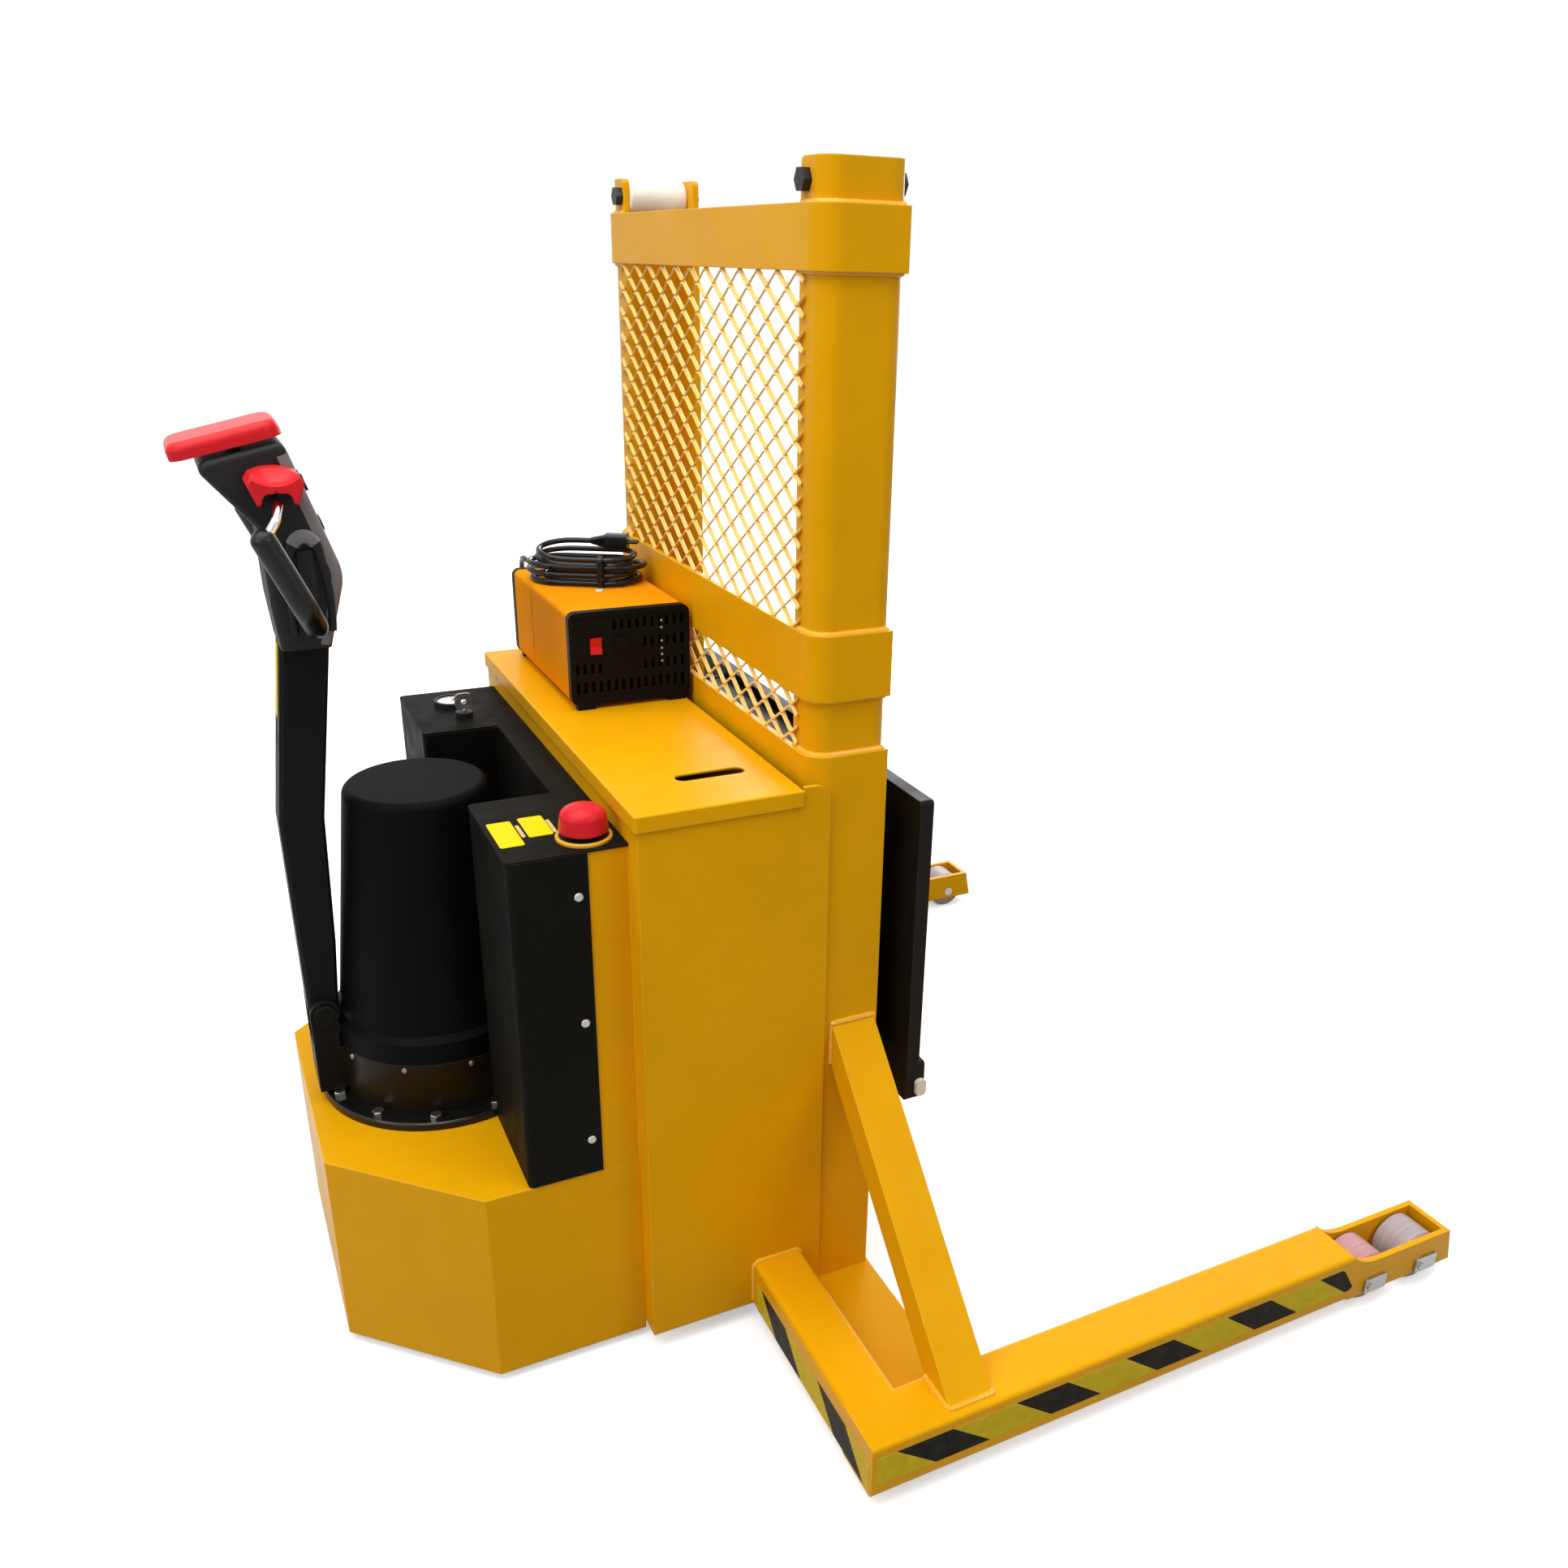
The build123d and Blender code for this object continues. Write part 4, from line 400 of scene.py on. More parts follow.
# Hazard tape: yellow and black vinyl stuck along the outside of each leg and across the rear face of each
# outrigger beam; the stripes slant, and the front end of the leg tape is trimmed to a slope.
def slab(outline, thickness):
    """Flat plate from an outline of points, as thick as the vector."""
    front = [Vector(point) for point in outline]
    return swept([front, [point + thickness for point in front]])


def striped_vinyl(name, along, first, pitch, black_share, slant, top):
    """Vinyl with slanted black bars in a row along an axis, the first one starting there at the top."""
    finish, tree, shader, place = start_finish(name, 0.3)
    shader.inputs["IOR"].default_value = 1.1
    split = add_node(tree, "SeparateXYZ", {0: place}).outputs
    run = worked(tree, "ABSOLUTE", split["Y"]) if along == "Y" else split["X"]
    depth = worked(tree, "SUBTRACT", top, split["Z"])
    level_run = worked(tree, "SUBTRACT", run, worked(tree, "MULTIPLY", depth, slant))
    turns = worked(tree, "DIVIDE", worked(tree, "SUBTRACT", level_run, first), pitch)
    bar = worked(tree, "LESS_THAN", worked(tree, "FRACT", turns), black_share)
    scuff = noise(tree, place, scale=55.0, detail=6.0, roughness=0.7)
    pale = ramp(tree, scuff, (0.35, (0.62, 0.44, 0.012)), (0.75, (0.74, 0.55, 0.03)))
    dark = ramp(tree, scuff, (0.4, (0.010, 0.009, 0.005)), (0.8, (0.030, 0.026, 0.014)))
    ripple = bumped(tree, scuff, distance=0.0002, strength=0.35)
    join(tree, shader, {"Base Color": mixed(tree, bar, pale, dark), "Normal": ripple})
    return finish


tape_thick, tape_inset, tape_trim = 0.0005, 0.0065, 0.006
side_tape_low, side_tape_high, side_tape_end = 0.044, 0.089, 0.598
slope_run, slope_drop = 0.022, 0.004
rear_tape_low, rear_tape_high, rear_tape_inner = 0.030, 0.077, 0.400
tape_start, rear_tape_outer = beam_rear + tape_inset, leg_high.y - tape_inset
side_vinyl = striped_vinyl("leg_side_tape", "X", first=-0.187, pitch=0.178, black_share=0.46, slant=1.29,
                           top=side_tape_high)
rear_vinyl = striped_vinyl("beam_rear_tape", "Y", first=0.417, pitch=0.184, black_share=0.45, slant=1.08,
                           top=rear_tape_high)
slope_top = side_tape_end - slope_run
side_line = [(tape_start, side_tape_low), (side_tape_end - tape_trim, side_tape_low),
             (side_tape_end, side_tape_low + tape_trim), (slope_top, side_tape_high - slope_drop),
             (slope_top - tape_trim, side_tape_high), (tape_start, side_tape_high)]
rear_line = [(rear_tape_inner, rear_tape_low), (rear_tape_outer, rear_tape_low),
             (rear_tape_outer, rear_tape_high), (rear_tape_inner, rear_tape_high)]
for name, side in (("left", 1), ("right", -1)):
    side_tape = slab([(x, side * leg_high.y, z) for x, z in side_line], Vector((0, side * tape_thick, 0)))
    piece("leg_tape_" + name, [side_tape], side_vinyl, "chassis", smooth=False)
    rear_tape = slab([(beam_rear, side * y, z) for y, z in rear_line], Vector((-tape_thick, 0, 0)))
    piece("beam_tape_" + name, [rear_tape], rear_vinyl, "chassis", smooth=False)

# Mesh guard: expanded steel sheet behind the mast opening. The slit strands zigzag, meet at short bonds
# and are twisted out of the sheet so that their flats face up; tacked to the uprights and painted, in a
# paler yellow than the steelwork as a painted highlight for the light on the strands.
mesh_low, mesh_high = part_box("mast_mesh")
sheet_offset = 0.0005
strand_width, strand_thick, strand_twist = 0.0058, 0.0024, math.radians(34)
half_diamond_y, half_diamond_z, half_bond = 0.0285, 0.01875, 0.004
strand_lift = half_diamond_z / 2 - 0.5 * strand_width * math.cos(strand_twist)
flat = Vector((math.sin(strand_twist), 0, math.cos(strand_twist))) * (strand_width / 2)
edge = Vector((math.cos(strand_twist), 0, -math.sin(strand_twist))) * (strand_thick / 2)
strand_corners = (flat + edge, flat - edge, -flat - edge, edge - flat)
columns = math.ceil(mesh_high.y / half_diamond_y)
strands = []
for sheet_bottom, sheet_top in ((shroud_high.z, bands_low.z), (middle_band_top, top_band_foot)):
    sheet_middle = (sheet_bottom + sheet_top) / 2
    rows = round((sheet_top - sheet_bottom) / 2 / half_diamond_z)
    for row in range(-rows, rows):
        line = []
        for column in range(-columns, columns + 1):
            rising = 1 if (row + column) % 2 else -1
            height = sheet_middle + (row + 0.5) * half_diamond_z + rising * strand_lift
            middle_y = column * half_diamond_y
            line += [(middle_y - half_bond, height), (middle_y + half_bond, height)]
        trimmed = []
        for (y, z), (next_y, next_z) in zip(line, line[1:]):
            for cut in (mesh_low.y, mesh_high.y):
                if (y - cut) * (next_y - cut) < 0:
                    trimmed.append((cut, z + (next_z - z) * (cut - y) / (next_y - y)))
            if mesh_low.y < next_y < mesh_high.y:
                trimmed.append((next_y, next_z))
        sections = []
        for y, z in sorted(trimmed):
            place = Vector((mesh_low.x - sheet_offset, y, z))
            sections.append([place + corner for corner in strand_corners])
        strands.append(swept(sections))
# Strands in a paler yellow with paler edges: painted highlight for the light on their flats.
mesh_highlight_yellow = paint("mesh_highlight_yellow", (0.92, 0.61, 0.15), 0.28, 0.06, (1.0, 0.86, 0.48), edge_radius=0.0011,
                    index=1.3)
guard = piece("mesh_guard", strands, mesh_highlight_yellow, "chassis", smooth=False)
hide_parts("mast_mesh")

# Carriage: flame-cut plate and welded frame in satin brown-black, the plate's lower bar finished at each
# end with a white nylon slide block pressed over it.
carriage_black = paint("carriage_black", (0.009, 0.0065, 0.0045), 0.45, 0.25, (0.045, 0.040, 0.034),
                       index=1.18)
cover(carriage_black, "carriage_plate", "carriage_frame")


def moulded(name, colour, roughness, grain=0.00012, grain_scale=900.0, cloud=0.12, edge_radius=0.0012,
            index=1.45):
    """Moulded plastic: fine grain, faint tint changes and softened edges."""
    finish, tree, shader, place = start_finish(name, roughness)
    shader.inputs["IOR"].default_value = index
    tint = clouded(tree, noise(tree, place, scale=14.0, detail=4.0), colour, cloud)
    pebbles = noise(tree, place, scale=grain_scale, detail=1.0)
    skin = bumped(tree, pebbles, grain, strength=0.7, Normal=rounded_edges(tree, edge_radius))
    join(tree, shader, {"Base Color": tint, "Normal": skin})
    return finish


def clipped(low_u, high_u, low_v, high_v, clip):
    """Outline of a rectangle with its corners clipped off."""
    return [(low_u + clip, low_v), (high_u - clip, low_v), (high_u, low_v + clip), (high_u, high_v - clip),
            (high_u - clip, high_v), (low_u + clip, high_v), (low_u, high_v - clip), (low_u, low_v + clip)]


nylon_white = moulded("nylon_white", (0.88, 0.82, 0.71), 0.38, grain=0.00003)
plate_low, plate_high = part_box("carriage_plate")
block_depth, block_height, block_thick, block_trim, block_rise = 0.016, 0.026, 0.007, 0.004, 0.008
block_rear, block_low = plate_high.x - block_depth, plate_low.z + block_rise
block_line = clipped(block_rear, plate_high.x, block_low, block_low + block_height, block_trim)
blocks = []
for side in (1, -1):
    outline = [(x, side * plate_high.y, z) for x, z in block_line]
    blocks.append(slab(outline, Vector((0, side * block_thick, 0))))
piece("bar_slide_blocks", blocks, nylon_white, "carriage", smooth=False)


# Mast fittings: turned nylon stop rollers on black hex bolts at the top of the uprights, chrome lift rod
# in a painted barrel, and ground steel guide rollers inside the channels.
def metal(name, colour, roughness, streak=(40.0, 40.0, 900.0), wear=0.12):
    """Bare metal with fine drawn lines."""
    finish, tree, shader, place = start_finish(name, roughness, metallic=1.0)
    stretched = add_node(tree, "Mapping", {"Vector": place, "Scale": streak}).outputs["Vector"]
    lines = noise(tree, stretched, scale=1.0, detail=4.0)
    tint = clouded(tree, lines, colour, wear)
    gloss = mapped(tree, lines, source=(0.3, 0.7), target=(roughness * 0.75, roughness * 1.3))
    join(tree, shader, {"Base Color": tint, "Roughness": gloss, "Normal": rounded_edges(tree, 0.0008)})
    return finish


cover(nylon_white, "stop_roller_left", "stop_roller_right")
bolt_black = metal("oiled_bolt", (0.035, 0.035, 0.037), 0.42)
cover(bolt_black, "stop_bolts")
ground_steel = metal("ground_steel", (0.5, 0.5, 0.51), 0.28, streak=(30.0, 700.0, 30.0))
cover(ground_steel, "guide_roller_upper_left", "guide_roller_upper_right", "guide_roller_lower_left",
      "guide_roller_lower_right")
hard_chrome = metal("hard_chrome", (0.78, 0.79, 0.81), 0.12, wear=0.04)
cover(hard_chrome, "lift_rod")
barrel_grey = paint("barrel_grey", (0.055, 0.057, 0.062), 0.4, 0.12, (0.12, 0.12, 0.12))
cover(barrel_grey, "lift_cylinder")


# Load rollers: cast polyurethane treads, the front pair worn pale and the rear pair mauve, turning on
# zinc-plated axles that flag plates hold in the cheeks of the legs.
def cast_urethane(name, colour):
    """Cast tread: milky colour with rolling marks round it."""
    finish, tree, shader, place = start_finish(name, 0.45)
    bands = add_node(tree, "Mapping", {"Vector": place, "Scale": (12.0, 260.0, 12.0)}).outputs["Vector"]
    marks = noise(tree, bands, scale=1.0, detail=5.0)
    darker, lighter = [part * 0.82 for part in colour], [part * 1.1 for part in colour]
    tint = ramp(tree, marks, (0.3, darker), (0.72, lighter))
    rolled = bumped(tree, marks, distance=0.0003, strength=0.5, Normal=rounded_edges(tree, 0.0015))
    join(tree, shader, {"Base Color": tint, "Normal": rolled})
    return finish


pale_urethane = cast_urethane("pale_urethane", (0.42, 0.34, 0.345))
cover(pale_urethane, "load_roller_front_left", "load_roller_front_right")
mauve_urethane = cast_urethane("mauve_urethane", (0.55, 0.27, 0.28))
cover(mauve_urethane, "load_roller_rear_left", "load_roller_rear_right")
zinc_plate = metal("zinc_plate", (0.40, 0.40, 0.385), 0.34)
cover(zinc_plate, "wheel_axles")

# Turntable: glossy black flange ring bolted to the deck with bright zinc bolts, and the brown-black
# steering ring that turns inside it, its rim held by small pan-head screws.
flange_gloss = paint("flange_gloss", (0.006, 0.006, 0.005), 0.10, 0.2, (0.06, 0.06, 0.055), index=1.4)
cover(flange_gloss, "turntable_flange")
bright_zinc = metal("bright_zinc", (0.75, 0.75, 0.73), 0.2, wear=0.05)
cover(bright_zinc, "flange_bolts")
ring_brown = paint("ring_brown_black", (0.0115, 0.0080, 0.0032), 0.3, 0.3, (0.045, 0.036, 0.022), index=1.18)
cover(ring_brown, "steering_ring")


def turned(profile, origin, axis, steps, ring=False):
    """Solid turned from radii and heights about an axis; a ring joins its last point to its first."""
    origin, axis = Vector(origin), Vector(axis).normalized()
    aside = axis.orthogonal().normalized()
    upward = axis.cross(aside)
    sections = [circle(origin + axis * height, aside, upward, radius, steps) for radius, height in profile]
    return swept(sections, loop=ring)


ring_low, ring_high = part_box("steering_ring")
ring_radius = (ring_high.x - ring_low.x) / 2
screw_count, first_screw, screw_drop = 10, 204, 0.008
screw_level = Vector(((ring_low.x + ring_high.x) / 2, 0, ring_high.z - screw_drop))
pan_head = ((0.0045, -0.001), (0.0045, 0.0008), (0.0036, 0.0022), (0.0018, 0.0028))
rim_screws = []
for number in range(screw_count):
    angle = math.radians(first_screw + 360 / screw_count * number)
    outward = Vector((math.cos(angle), math.sin(angle), 0))
    rim_screws.append(turned(pan_head, screw_level + outward * ring_radius, outward, steps=12))
screw_dull = metal("screw_dull", (0.22, 0.21, 0.19), 0.4)
piece("ring_screws", rim_screws, screw_dull, "drive_unit")

# Drive motor and its cover: the motor stands upright through the steering ring in grey paint; over it goes
# one tapered shell of black plastic, moulded with a rounded top edge, its sides smooth and nearly matt.
cover(barrel_grey, "drive_motor")
motor_black = moulded("motor_cover_black", (0.0026, 0.0025, 0.0034), 0.5, grain=0.00006, grain_scale=600.0,
                      index=1.12)
cover(motor_black, "motor_cover")

# Drive wheel: cast iron hub in a cast fork below the steering ring, both painted over their rough skin,
# with a black tread bonded round the hub.
rough_casting = paint("rough_casting", (0.05, 0.05, 0.052), 0.6, 0.2, (0.12, 0.12, 0.12), peel=0.0004)
cover(rough_casting, "drive_hub", "drive_fork")
tread_rubber = moulded("tread_rubber", (0.016, 0.016, 0.016), 0.62, grain=0.0003, grain_scale=500.0)
cover(tread_rubber, "drive_tyre")

# Traction battery: moulded black case with caps over its cells, which stands on the floor of the battery
# box under the lid.
cell_black = moulded("cell_black", (0.03, 0.03, 0.032), 0.5)
cover(cell_black, "traction_battery")

# Control cover and console: folded black sheet in a dull wrinkled coat, fixed with zinc-plated screws over
# the grey hydraulic power pack; the console carries two bare yellow plates and two pale strips beside them,
# stuck on flat.
cover(barrel_grey, "power_pack")
cover(zinc_plate, "cover_screws")
cover_black = paint("cover_black", (0.0062, 0.0056, 0.0042), 0.5, 0.2, (0.035, 0.034, 0.031), peel=0.00012,
                    index=1.12)
cover(cover_black, "control_cover", "console_panel")
console_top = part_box("console_panel")[1].z
plate_thick, plate_corner = 0.0008, 0.0022


def flat_plate(centre_x, centre_y, length, width):
    """Thin plate with clipped corners lying on the console."""
    low_x, low_y = centre_x - length / 2, centre_y - width / 2
    corners = clipped(low_x, low_x + length, low_y, low_y + width, min(plate_corner, length / 4))
    return slab([(x, y, console_top) for x, y in corners], Vector((0, 0, plate_thick)))


console_plates = [flat_plate(-0.5076, -0.268, length=0.0305, width=0.080),
                  flat_plate(-0.4669, -0.256, length=0.0310, width=0.064)]
plate_yellow = moulded("plate_yellow", (0.85, 0.61, 0.002), 0.34, grain=0.00002, cloud=0.04, index=1.12)
piece("console_plates", console_plates, plate_yellow, "chassis", smooth=False)
console_strips = [flat_plate(-0.4880, -0.265, length=0.0050, width=0.040),
                  flat_plate(-0.4481, -0.2625, length=0.0050, width=0.043)]
strip_cream = moulded("strip_cream", (0.60, 0.47, 0.18), 0.4, grain=0.00002, cloud=0.05, index=1.15)
piece("console_strips", console_strips, strip_cream, "chassis", smooth=False)

# Console fittings: black switch bezels with a plated key, the emergency stop on a yellow base ring, and a
# battery gauge with a pale dial, plain ticks and a needle under its rim.
cover(zinc_plate, "ignition_key")
fitting_black = moulded("fitting_black", (0.014, 0.014, 0.015), 0.4, index=1.28)
cover(fitting_black, "console_fittings")
signal_red = moulded("signal_red", (0.64, 0.015, 0.020), 0.3, grain=0.00002, cloud=0.06, index=1.25)
cover(signal_red, "estop_knob")
stop_low, stop_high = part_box("estop_knob")
stop_centre = ((stop_low.x + stop_high.x) / 2, (stop_low.y + stop_high.y) / 2, console_top)
ring_profile = ((0.0312, 0.0041), (0.0312, 0.0046), (0.0342, 0.0046), (0.0354, 0.0036), (0.0354, 0.0002),
                (0.0342, 0.0002), (0.0342, 0.0041))
base_ring = turned(ring_profile, stop_centre, (0, 0, 1), steps=44, ring=True)
ring_amber = moulded("ring_amber", (0.80, 0.40, 0.02), 0.34, grain=0.00002, cloud=0.04)
piece("estop_base_ring", [base_ring], ring_amber, "chassis")
gauge_x, gauge_y, dial_rise = -0.4585, 0.280, 0.005
gauge_centre = Vector((gauge_x, gauge_y, console_top + dial_rise))
dial_profile = ((0.0235, 0.0), (0.0235, 0.0004), (0.0225, 0.0008))
dial_white = moulded("dial_white", (0.75, 0.76, 0.74), 0.4, grain=0.00001, cloud=0.03)
gauge_dial = turned(dial_profile, gauge_centre, (0, 0, 1), steps=32)
piece("gauge_dial", [gauge_dial], dial_white, "chassis")
tick_inner, tick_outer, tick_half = 0.0165, 0.0205, 0.0005
tick_count, first_tick, tick_turn = 9, 200, 27.5
needle_angle, needle_reach, needle_half = 30, 0.015, 0.0012


def dial_mark(angle, corners, rise, thick):
    """Flat mark on the dial, its corners given along a ray from the centre and across it."""
    ray = Vector((math.sin(math.radians(angle)), math.cos(math.radians(angle)), 0))
    across = Vector((-ray.y, ray.x, 0))
    base = gauge_centre + Vector((0, 0, rise))
    return slab([base + ray * along + across * aside for along, aside in corners], Vector((0, 0, thick)))


tick = ((tick_inner, -tick_half), (tick_outer, -tick_half), (tick_outer, tick_half), (tick_inner, tick_half))
needle = ((0, -needle_half), (needle_reach, 0), (0, needle_half))
dial_marks = []
for number in range(tick_count):
    dial_marks.append(dial_mark(first_tick - tick_turn * number, tick, rise=0.0008, thick=0.0002))
dial_marks.append(dial_mark(needle_angle, needle, rise=0.0010, thick=0.0003))
piece("gauge_marks", dial_marks, fitting_black, "chassis", smooth=False)

# Tiller arm: welded box section in black paint, which a pin joins to its bracket on the steering ring; a
# plain yellow strip is stuck down its rear face below the head.
arm_black = paint("arm_black", (0.0075, 0.0072, 0.0062), 0.42, 0.2, (0.045, 0.044, 0.042), index=1.14)
cover(arm_black, "tiller_arm", "tiller_bracket", "pivot_pin")
pivot_inset = 0.022
pivot_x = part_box("tiller_arm")[0].x + pivot_inset
strip_top = Vector((pivot_x + 0.0082, 0, 0.983))
strip_foot = Vector((pivot_x - 0.0037, 0, 0.8865))
strip_half = Vector((0, 0.013, 0))
strip_thick = Vector((-0.0008, 0, 0.0001))
strip_line = [strip_foot - strip_half, strip_foot + strip_half, strip_top + strip_half,
              strip_top - strip_half]
piece("arm_strip", [slab(strip_line, strip_thick)], plate_yellow, "tiller", smooth=False)

# Tiller head: two grained black halves screwed together; on each side a raised arch with a tongue inside it
# braces the grip's foot; the moulding's mast-side edge and the arch crowns are a smoother, paler grey, a
# painted highlight where they catch the light.
head_black = moulded("head_black", (0.014, 0.014, 0.0137), 0.42, grain=0.0002, grain_scale=700.0,
                     edge_radius=0.002, index=1.25)
cover(head_black, "tiller_head", "horn_button", "lift_rocker")
head_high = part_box("tiller_head")[1]
rib_shape = ((-1.0, 0.0), (-1.0, 0.55), (-0.72, 0.9), (-0.3, 1.0), (0.3, 1.0), (0.72, 0.9), (1.0, 0.55),
             (1.0, 0.0))


def rib(path, half_widths, rise, outward):
    """Raised rib with rounded shoulders along a line on a face, standing out from it."""
    sections = []
    for index, point in enumerate(path):
        aside = facing(path, index).cross(outward).normalized() * half_widths[index]
        sections.append([point + aside * across + outward * (rise * height) for across, height in rib_shape])
    return swept(sections)


def eased(corners, step, passes):
    """Line of corners cut into regular steps and smoothed a number of times."""
    path = spaced(corners, step)
    for _ in range(passes):
        path = [path[0]] + [(a + b * 2 + c) / 4 for a, b, c in zip(path, path[1:], path[2:])] + [path[-1]]
    return path


arch_line = ((0.0270, 1.006), (0.0262, 1.050), (0.0285, 1.092), (0.0360, 1.117), (0.0455, 1.1265),
             (0.0570, 1.1265), (0.0645, 1.117), (0.0690, 1.090), (0.0725, 1.060), (0.0735, 1.035),
             (0.0715, 1.008))
arch_leg, arch_crown, arch_rise = 0.0048, 0.0080, 0.0090
crown_from, crown_to = 1.100, 1.125
tongue_line = ((0.0500, 1.109), (0.0510, 1.080), (0.0520, 1.045))
tongue_half, tongue_rise = 0.0105, 0.0045
ledge_from, ledge_over = 1.1140, 0.0007
rib_step, rib_sunk = 0.005, 0.0005
ribs, ledges = [], []
for side in (1, -1):
    outward = Vector((0, side, 0))
    face = side * (head_high.y - rib_sunk)
    arch = eased([Vector((pivot_x + x, face, z)) for x, z in arch_line], rib_step, passes=3)
    widths = []
    for point in arch:
        share = min(1.0, max(0.0, (point.z - crown_from) / (crown_to - crown_from)))
        widths.append(arch_leg + (arch_crown - arch_leg) * share)
    ribs.append(rib(arch, widths, arch_rise, outward))
    crown = [(point, width + ledge_over) for point, width in zip(arch, widths) if point.z > ledge_from]
    crown_path, crown_widths = zip(*crown)
    ledges.append(rib(crown_path, crown_widths, arch_rise + ledge_over, outward))
    tongue = eased([Vector((pivot_x + x, face, z)) for x, z in tongue_line], rib_step, passes=1)
    ribs.append(rib(tongue, [tongue_half] * len(tongue), tongue_rise, outward))
piece("head_ribs", ribs, head_black, "tiller")
# Paler, smoother grey on the arch crowns and the mast-side edge: painted highlight where these faces catch
# the light.
head_highlight_grey = moulded("head_highlight_grey", (0.19, 0.19, 0.195), 0.42, grain=0.00008, edge_radius=0.0006, index=1.3)
piece("arch_ledges", ledges, head_highlight_grey, "tiller")
edge_foot = Vector((0.0690, 0, 0.9870))
edge_knee = Vector((0.0940, 0, 1.0750))
edge_top = Vector((0.0465, 0, 1.2240))
edge_step, knee_radius, knee_steps = 0.008, 0.060, 6
rim_radius, band_flat = 0.009, 0.005
band_proud, band_sunk = 0.0004, 0.0003
rise_in, rise_out = (edge_knee - edge_foot).normalized(), (edge_top - edge_knee).normalized()
half_bend = rise_in.angle(rise_out) / 2
knee_run = knee_radius * math.tan(half_bend)
knee_start, knee_end = edge_knee - rise_in * knee_run, edge_knee + rise_out * knee_run
knee_middle = knee_start + Vector((-rise_in.z, 0, rise_in.x)) * knee_radius
edge_line = spaced([edge_foot, knee_start], edge_step)
for step in range(1, knee_steps + 1):
    turn = Matrix.Rotation(-2 * half_bend * step / knee_steps, 3, "Y")
    edge_line.append(knee_middle + turn @ (knee_start - knee_middle))
edge_line += spaced([knee_end, edge_top], edge_step)[1:]
edge_bands = []
for side in (1, -1):
    sideways = Vector((0, side, 0))
    sections = []
    for index, point in enumerate(edge_line):
        ahead = facing(edge_line, index)
        outside = Vector((ahead.z, 0, -ahead.x))
        centre = Vector((pivot_x, side * (head_high.y - rim_radius), 0)) + point - outside * rim_radius
        line = [(centre + sideways * rim_radius - outside * band_flat, sideways)]
        for angle in [math.radians(15 * step) for step in range(6)]:
            normal = outside * math.sin(angle) + sideways * math.cos(angle)
            line.append((centre + normal * rim_radius, normal))
        sections.append([spot + normal * band_proud for spot, normal in line] +
                        [spot - normal * band_sunk for spot, normal in reversed(line)])
    edge_bands.append(swept(sections))
piece("head_edge_bands", edge_bands, head_highlight_grey, "tiller")

# Grips and thumb controls: rubber-covered steel loops, plated rods back to the head, a red rocking
# butterfly moulded with an open fork over the rod, and the red cushioned belly switch on the head's end.
grip_rubber = moulded("grip_rubber", (0.0055, 0.0055, 0.0060), 0.3, grain=0.00006, grain_scale=450.0,
                      index=1.34)
cover(grip_rubber, "grip_loops")
cover(hard_chrome, "grip_rods")
cover(signal_red, "belly_switch")
wings_low, wings_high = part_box("throttle")
rocker_offset, rocker_z = 0.024, 1.196
rocker_x = pivot_x + rocker_offset
fork_inside = ((0.0190, -0.0260), (0.0178, -0.0200), (0.0168, -0.0160), (0.0154, -0.0132), (0.0128, -0.0110),
               (0.0090, -0.0098))
core_over = 0.01
core_start, core_run = wings_low.y - core_over, Vector((0, wings_high.y - wings_low.y + 2 * core_over, 0))
core_line = [(rocker_x + x, core_start, rocker_z + z) for x, z in fork_inside]
core_line += [(rocker_x - x, core_start, rocker_z + z) for x, z in reversed(fork_inside)]
fork_core = bpy.data.objects.new("fork_core", joined_mesh("fork_core", [slab(core_line, core_run)]))
wing_blank = bpy.data.objects.new("wing_blank", nodes["throttle"].data.copy())
wing_blank.matrix_world = nodes["throttle"].matrix_world
for thing in (fork_core, wing_blank):
    scene.collection.objects.link(thing)
fork_cut = wing_blank.modifiers.new("fork_cut", "BOOLEAN")
fork_cut.operation = "DIFFERENCE"
fork_cut.solver = "EXACT"
fork_cut.object = fork_core
moulding = wing_blank.evaluated_get(bpy.context.evaluated_depsgraph_get()).to_mesh()
wing_vertices = [wing_blank.matrix_world @ vertex.co for vertex in moulding.vertices]
wing_faces = [tuple(face.vertices) for face in moulding.polygons]
for thing in (fork_core, wing_blank):
    bpy.data.objects.remove(thing)
wings = piece("thumb_wings", [(wing_vertices, wing_faces)], signal_red, "throttle")
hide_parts("throttle")

# Charger: folded steel case in orange-yellow powder coat between black moulded ends, with a thin sleeve
# lapped round its rear part, a black screen clipped in behind the vents, a red rocker switch and a column
# of small indicator lenses.
charger_orange = paint("charger_orange", (0.83, 0.285, 0.004), 0.36, 0.05, (0.95, 0.5, 0.12),
                       edge_radius=0.003, index=1.03, sheen=(1.0, 0.75, 0.35))
cover(charger_orange, "charger_case")
bezel_black = moulded("bezel_black", (0.0045, 0.0043, 0.0040), 0.42, grain=0.0001, index=1.18)
cover(bezel_black, "charger_bezels")
cover(signal_red, "charger_switch")
case_low, case_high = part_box("charger_case")
case_corner = 0.009
sleeve_gap, sleeve_thick, sleeve_hem, sleeve_tail = 0.0001, 0.0009, 0.010, 0.001
sleeve_front, sleeve_rear = Vector((0, 0.236, 0)), Vector((0, case_high.y - sleeve_tail, 0))
case_edge = [(Vector((case_low.x, 0, case_low.z + sleeve_hem)), Vector((-1, 0, 0)))]
for middle_x, first_angle in ((case_low.x + case_corner, 180), (case_high.x - case_corner, 90)):
    for step in range(7):
        angle = math.radians(first_angle - 15 * step)
        normal = Vector((math.cos(angle), 0, math.sin(angle)))
        case_edge.append((Vector((middle_x, 0, case_high.z - case_corner)) + normal * case_corner, normal))
case_edge.append((Vector((case_high.x, 0, case_low.z + sleeve_hem)), Vector((1, 0, 0))))
sleeve_sections = []
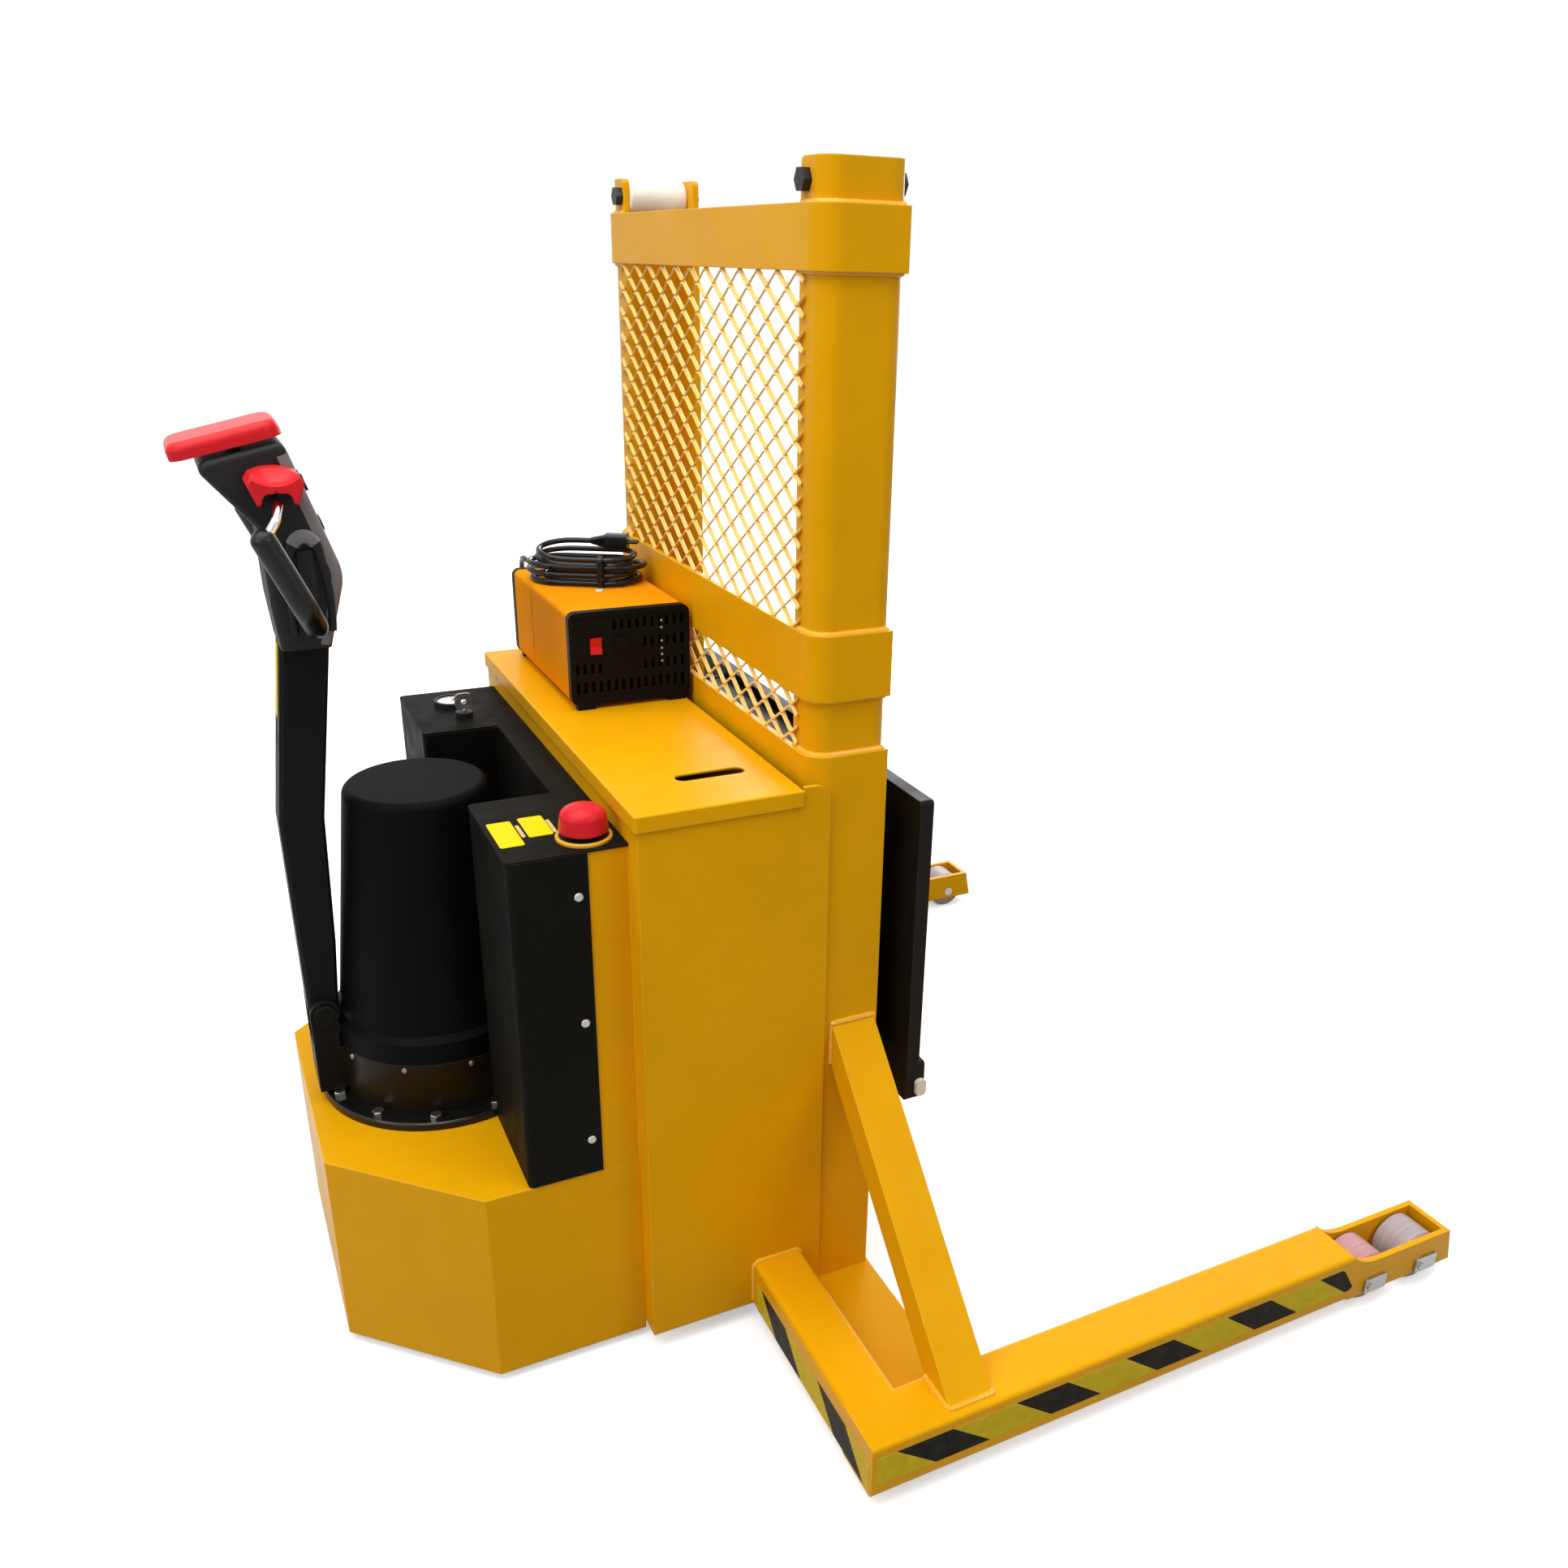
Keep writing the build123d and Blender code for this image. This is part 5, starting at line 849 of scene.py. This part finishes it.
for spot, normal in case_edge:
    under, over = spot + normal * sleeve_gap, spot + normal * sleeve_thick
    sleeve_sections.append([under + sleeve_front, over + sleeve_front, over + sleeve_rear,
                            under + sleeve_rear])
piece("case_sleeve", [swept(sleeve_sections)], charger_orange, "charger")
screen_inset, screen_setback, screen_thick = 0.005, 0.0015, 0.0008
screen_left, screen_right = case_low.x + screen_inset, case_high.x - screen_inset
screen_low, screen_high = case_low.z + screen_inset, case_high.z - screen_inset
screen_corners = ((screen_left, screen_low), (screen_right, screen_low), (screen_right, screen_high),
                  (screen_left, screen_high))
screen = slab([(x, case_low.y + screen_setback, z) for x, z in screen_corners], Vector((0, screen_thick, 0)))
piece("vent_screen", [screen], bezel_black, "charger", smooth=False)
bezel_recess = 0.003
lens_x, lens_y = -0.195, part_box("charger_bezels")[0].y + bezel_recess
lens_heights = (0.9584, 0.9480, 0.9280, 0.9168, 0.9073, 0.8974)
lens_dome = ((0.0019, -0.001), (0.0019, 0.0004), (0.0015, 0.0012), (0.0006, 0.0017))
lenses = [turned(lens_dome, (lens_x, lens_y, height), (0, -1, 0), steps=12) for height in lens_heights]
lens_white = moulded("lens_white", (0.30, 0.31, 0.31), 0.25, grain=0.0)
piece("indicator_lenses", lenses, lens_white, "charger")


# Mains cord: black flexible cord, 8.5 mm thick, out of the gland at the charger's rear end, up over the
# edge and wound by hand in a loose hank on top; a strap with a pale tag ties its near side and the moulded
# plug rests on the turns.
cord_thick = 0.0085
hank_x, hank_y, hank_z = -0.24024, 0.2265, 0.98415
hank_turn = math.radians(-29.0)
long_axis = Vector((math.cos(hank_turn), math.sin(hank_turn), 0))
cross_axis = Vector((-long_axis.y, long_axis.x, 0))
half_run, lead_run = 0.036, 0.036
straight_share = 0.7
hank_radius = 0.057
half_turns = 3
run_step = 2.12 * cord_thick / 2
layer_step = 1.41 * cord_thick
hank_top = hank_z + 3 * layer_step + cord_thick / 2
plug_half, plug_rest, plug_gap = 0.012, 0.0003, 0.0008
plug_height = hank_top + plug_rest + plug_half
plug_across = hank_radius - 2 * run_step - cord_thick / 2 - plug_gap - plug_half
plug_along = 0.0
winding = random.Random(323)
run_drift = (-0.0022, 0.0022)
rear_slack, front_slack = (-0.003, 0.014), (-0.011, 0.0)
fold_lift = (-0.0002, 0.0030)


def on_hank(along, across, height):
    """Point of the hank along its length, across it and at a height."""
    return Vector((hank_x, hank_y, height)) + long_axis * along + cross_axis * across


inward = list(range(half_turns + 1))
outward_steps = inward[-2::-1]
order = [(0, step) for step in inward] + [(1, step) for step in outward_steps]
order += [(2, step) for step in inward[1:]] + [(3, step) for step in outward_steps]
runs = []
for number, (layer, step) in enumerate(order):
    swing = (-1) ** number
    drift = winding.uniform(*run_drift) if number else 0.0
    runs.append((swing, swing * (hank_radius - step * run_step) + drift, hank_z + layer * layer_step))
runs[-1] = (runs[-1][0], plug_across, plug_height)
hank_start = on_hank(-runs[0][0] * half_run, runs[0][1], hank_z)
gland = Vector((-0.2985, 0.370, 0.8906))
case_top = case_high.z
cord_line = [
    gland,
    gland + Vector((0, 0.030, 0)),
    gland + Vector((0.001, 0.054, 0.029)),
    gland + Vector((-0.001, 0.053, 0.070)),
    Vector((gland.x - 0.006, gland.y + 0.022, case_top + 0.011)),
    Vector((gland.x - 0.010, gland.y - 0.022, case_top + 0.0105)),
    hank_start - long_axis * lead_run,
]
arc_angles = (75, 45, 15, -15, -45, -75)
stand_off = 1 / math.cos(math.radians(15))
for number, (swing, across, height) in enumerate(runs):
    cord_line.append(on_hank(-swing * half_run * straight_share, across, height))
    if number == len(runs) - 1:
        cord_line.append(on_hank(plug_along, across, height))
        break
    cord_line.append(on_hank(swing * half_run * straight_share, across, height))
    next_across, next_height = runs[number + 1][1:]
    middle = (across + next_across) / 2
    reach = abs(across - next_across) / 2
    lean_sign = 1 if across > next_across else -1
    slack = winding.uniform(*(rear_slack if swing < 0 else front_slack))
    lift = winding.uniform(*fold_lift)
    for index, angle in enumerate(arc_angles):
        share = (index + 0.5) / len(arc_angles)
        bow = math.cos(math.radians(angle))
        cord_line.append(on_hank(
            swing * (half_run + reach * stand_off * bow + slack * bow),
            middle + lean_sign * reach * stand_off * math.sin(math.radians(angle)),
            height + (next_height - height) * share + lift * bow))
cord_curve = bpy.data.curves.new("mains_cord", "CURVE")
cord_curve.dimensions = "3D"
cord_spline = cord_curve.splines.new("NURBS")
cord_spline.points.add(len(cord_line) - 1)
for point, place in zip(cord_spline.points, cord_line):
    point.co = (*place, 1)
cord_spline.order_u = 3
cord_spline.use_endpoint_u = True
cord_curve.resolution_u = 6
cord_curve.bevel_depth = cord_thick / 2
cord_curve.bevel_resolution = 4
cord_curve.use_fill_caps = True
cord_black = moulded("cord_black", (0.0040, 0.0040, 0.0043), 0.2, grain=0.00003, index=1.36)
cord_curve.materials.append(cord_black)
mains_cord = bpy.data.objects.new("mains_cord", cord_curve)
scene.collection.objects.link(mains_cord)
cover(cord_black, "cord_plug")
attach(mains_cord, "charger")
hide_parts("cord_coil", "cord_lead")
strap_along, strap_half, strap_thick = 0.028, 0.0040, 0.0008
strap_start, strap_end = strap_along - strap_half, strap_along + strap_half
strap_near, strap_far = -0.0560, -0.0215
strap_under, strap_over = 0.0002, 0.0012
strap_low, strap_high = case_top + strap_under, hank_top + strap_over
top_corner, foot_corner = 0.006, 0.001
strap_corners = ((strap_far - top_corner, strap_high - top_corner, top_corner),
                 (strap_near + top_corner, strap_high - top_corner, top_corner),
                 (strap_near + foot_corner, strap_low + foot_corner, foot_corner),
                 (strap_far - foot_corner, strap_low + foot_corner, foot_corner))
strap_sections = []
for number, (middle_across, middle_height, radius) in enumerate(strap_corners):
    for angle in [math.radians(90 * number + 30 * step) for step in range(4)]:
        aside, upward = math.cos(angle), math.sin(angle)
        across, height = middle_across + radius * aside, middle_height + radius * upward
        over_across, over_height = across + strap_thick * aside, height + strap_thick * upward
        if upward < -0.5:
            over_height = height
            height += strap_thick
        strap_sections.append([on_hank(strap_start, across, height), on_hank(strap_end, across, height),
                               on_hank(strap_end, over_across, over_height),
                               on_hank(strap_start, over_across, over_height)])
strap = swept(strap_sections, loop=True)
piece("cord_strap", [strap], cord_black, "charger", smooth=False)
tag_shape = ((-0.0055, -0.0015), (0.0055, -0.0015), (0.0075, -0.0215), (0.0010, -0.0245), (-0.0035, -0.0215))
tag_line = [on_hank(strap_along + along, strap_near + across, strap_low) for along, across in tag_shape]
tag_pale = moulded("tag_pale", (0.62, 0.58, 0.48), 0.5, grain=0.0001, grain_scale=1200.0)
piece("strap_tag", [slab(tag_line, Vector((0, 0, strap_thick)))], tag_pale, "charger", smooth=False)
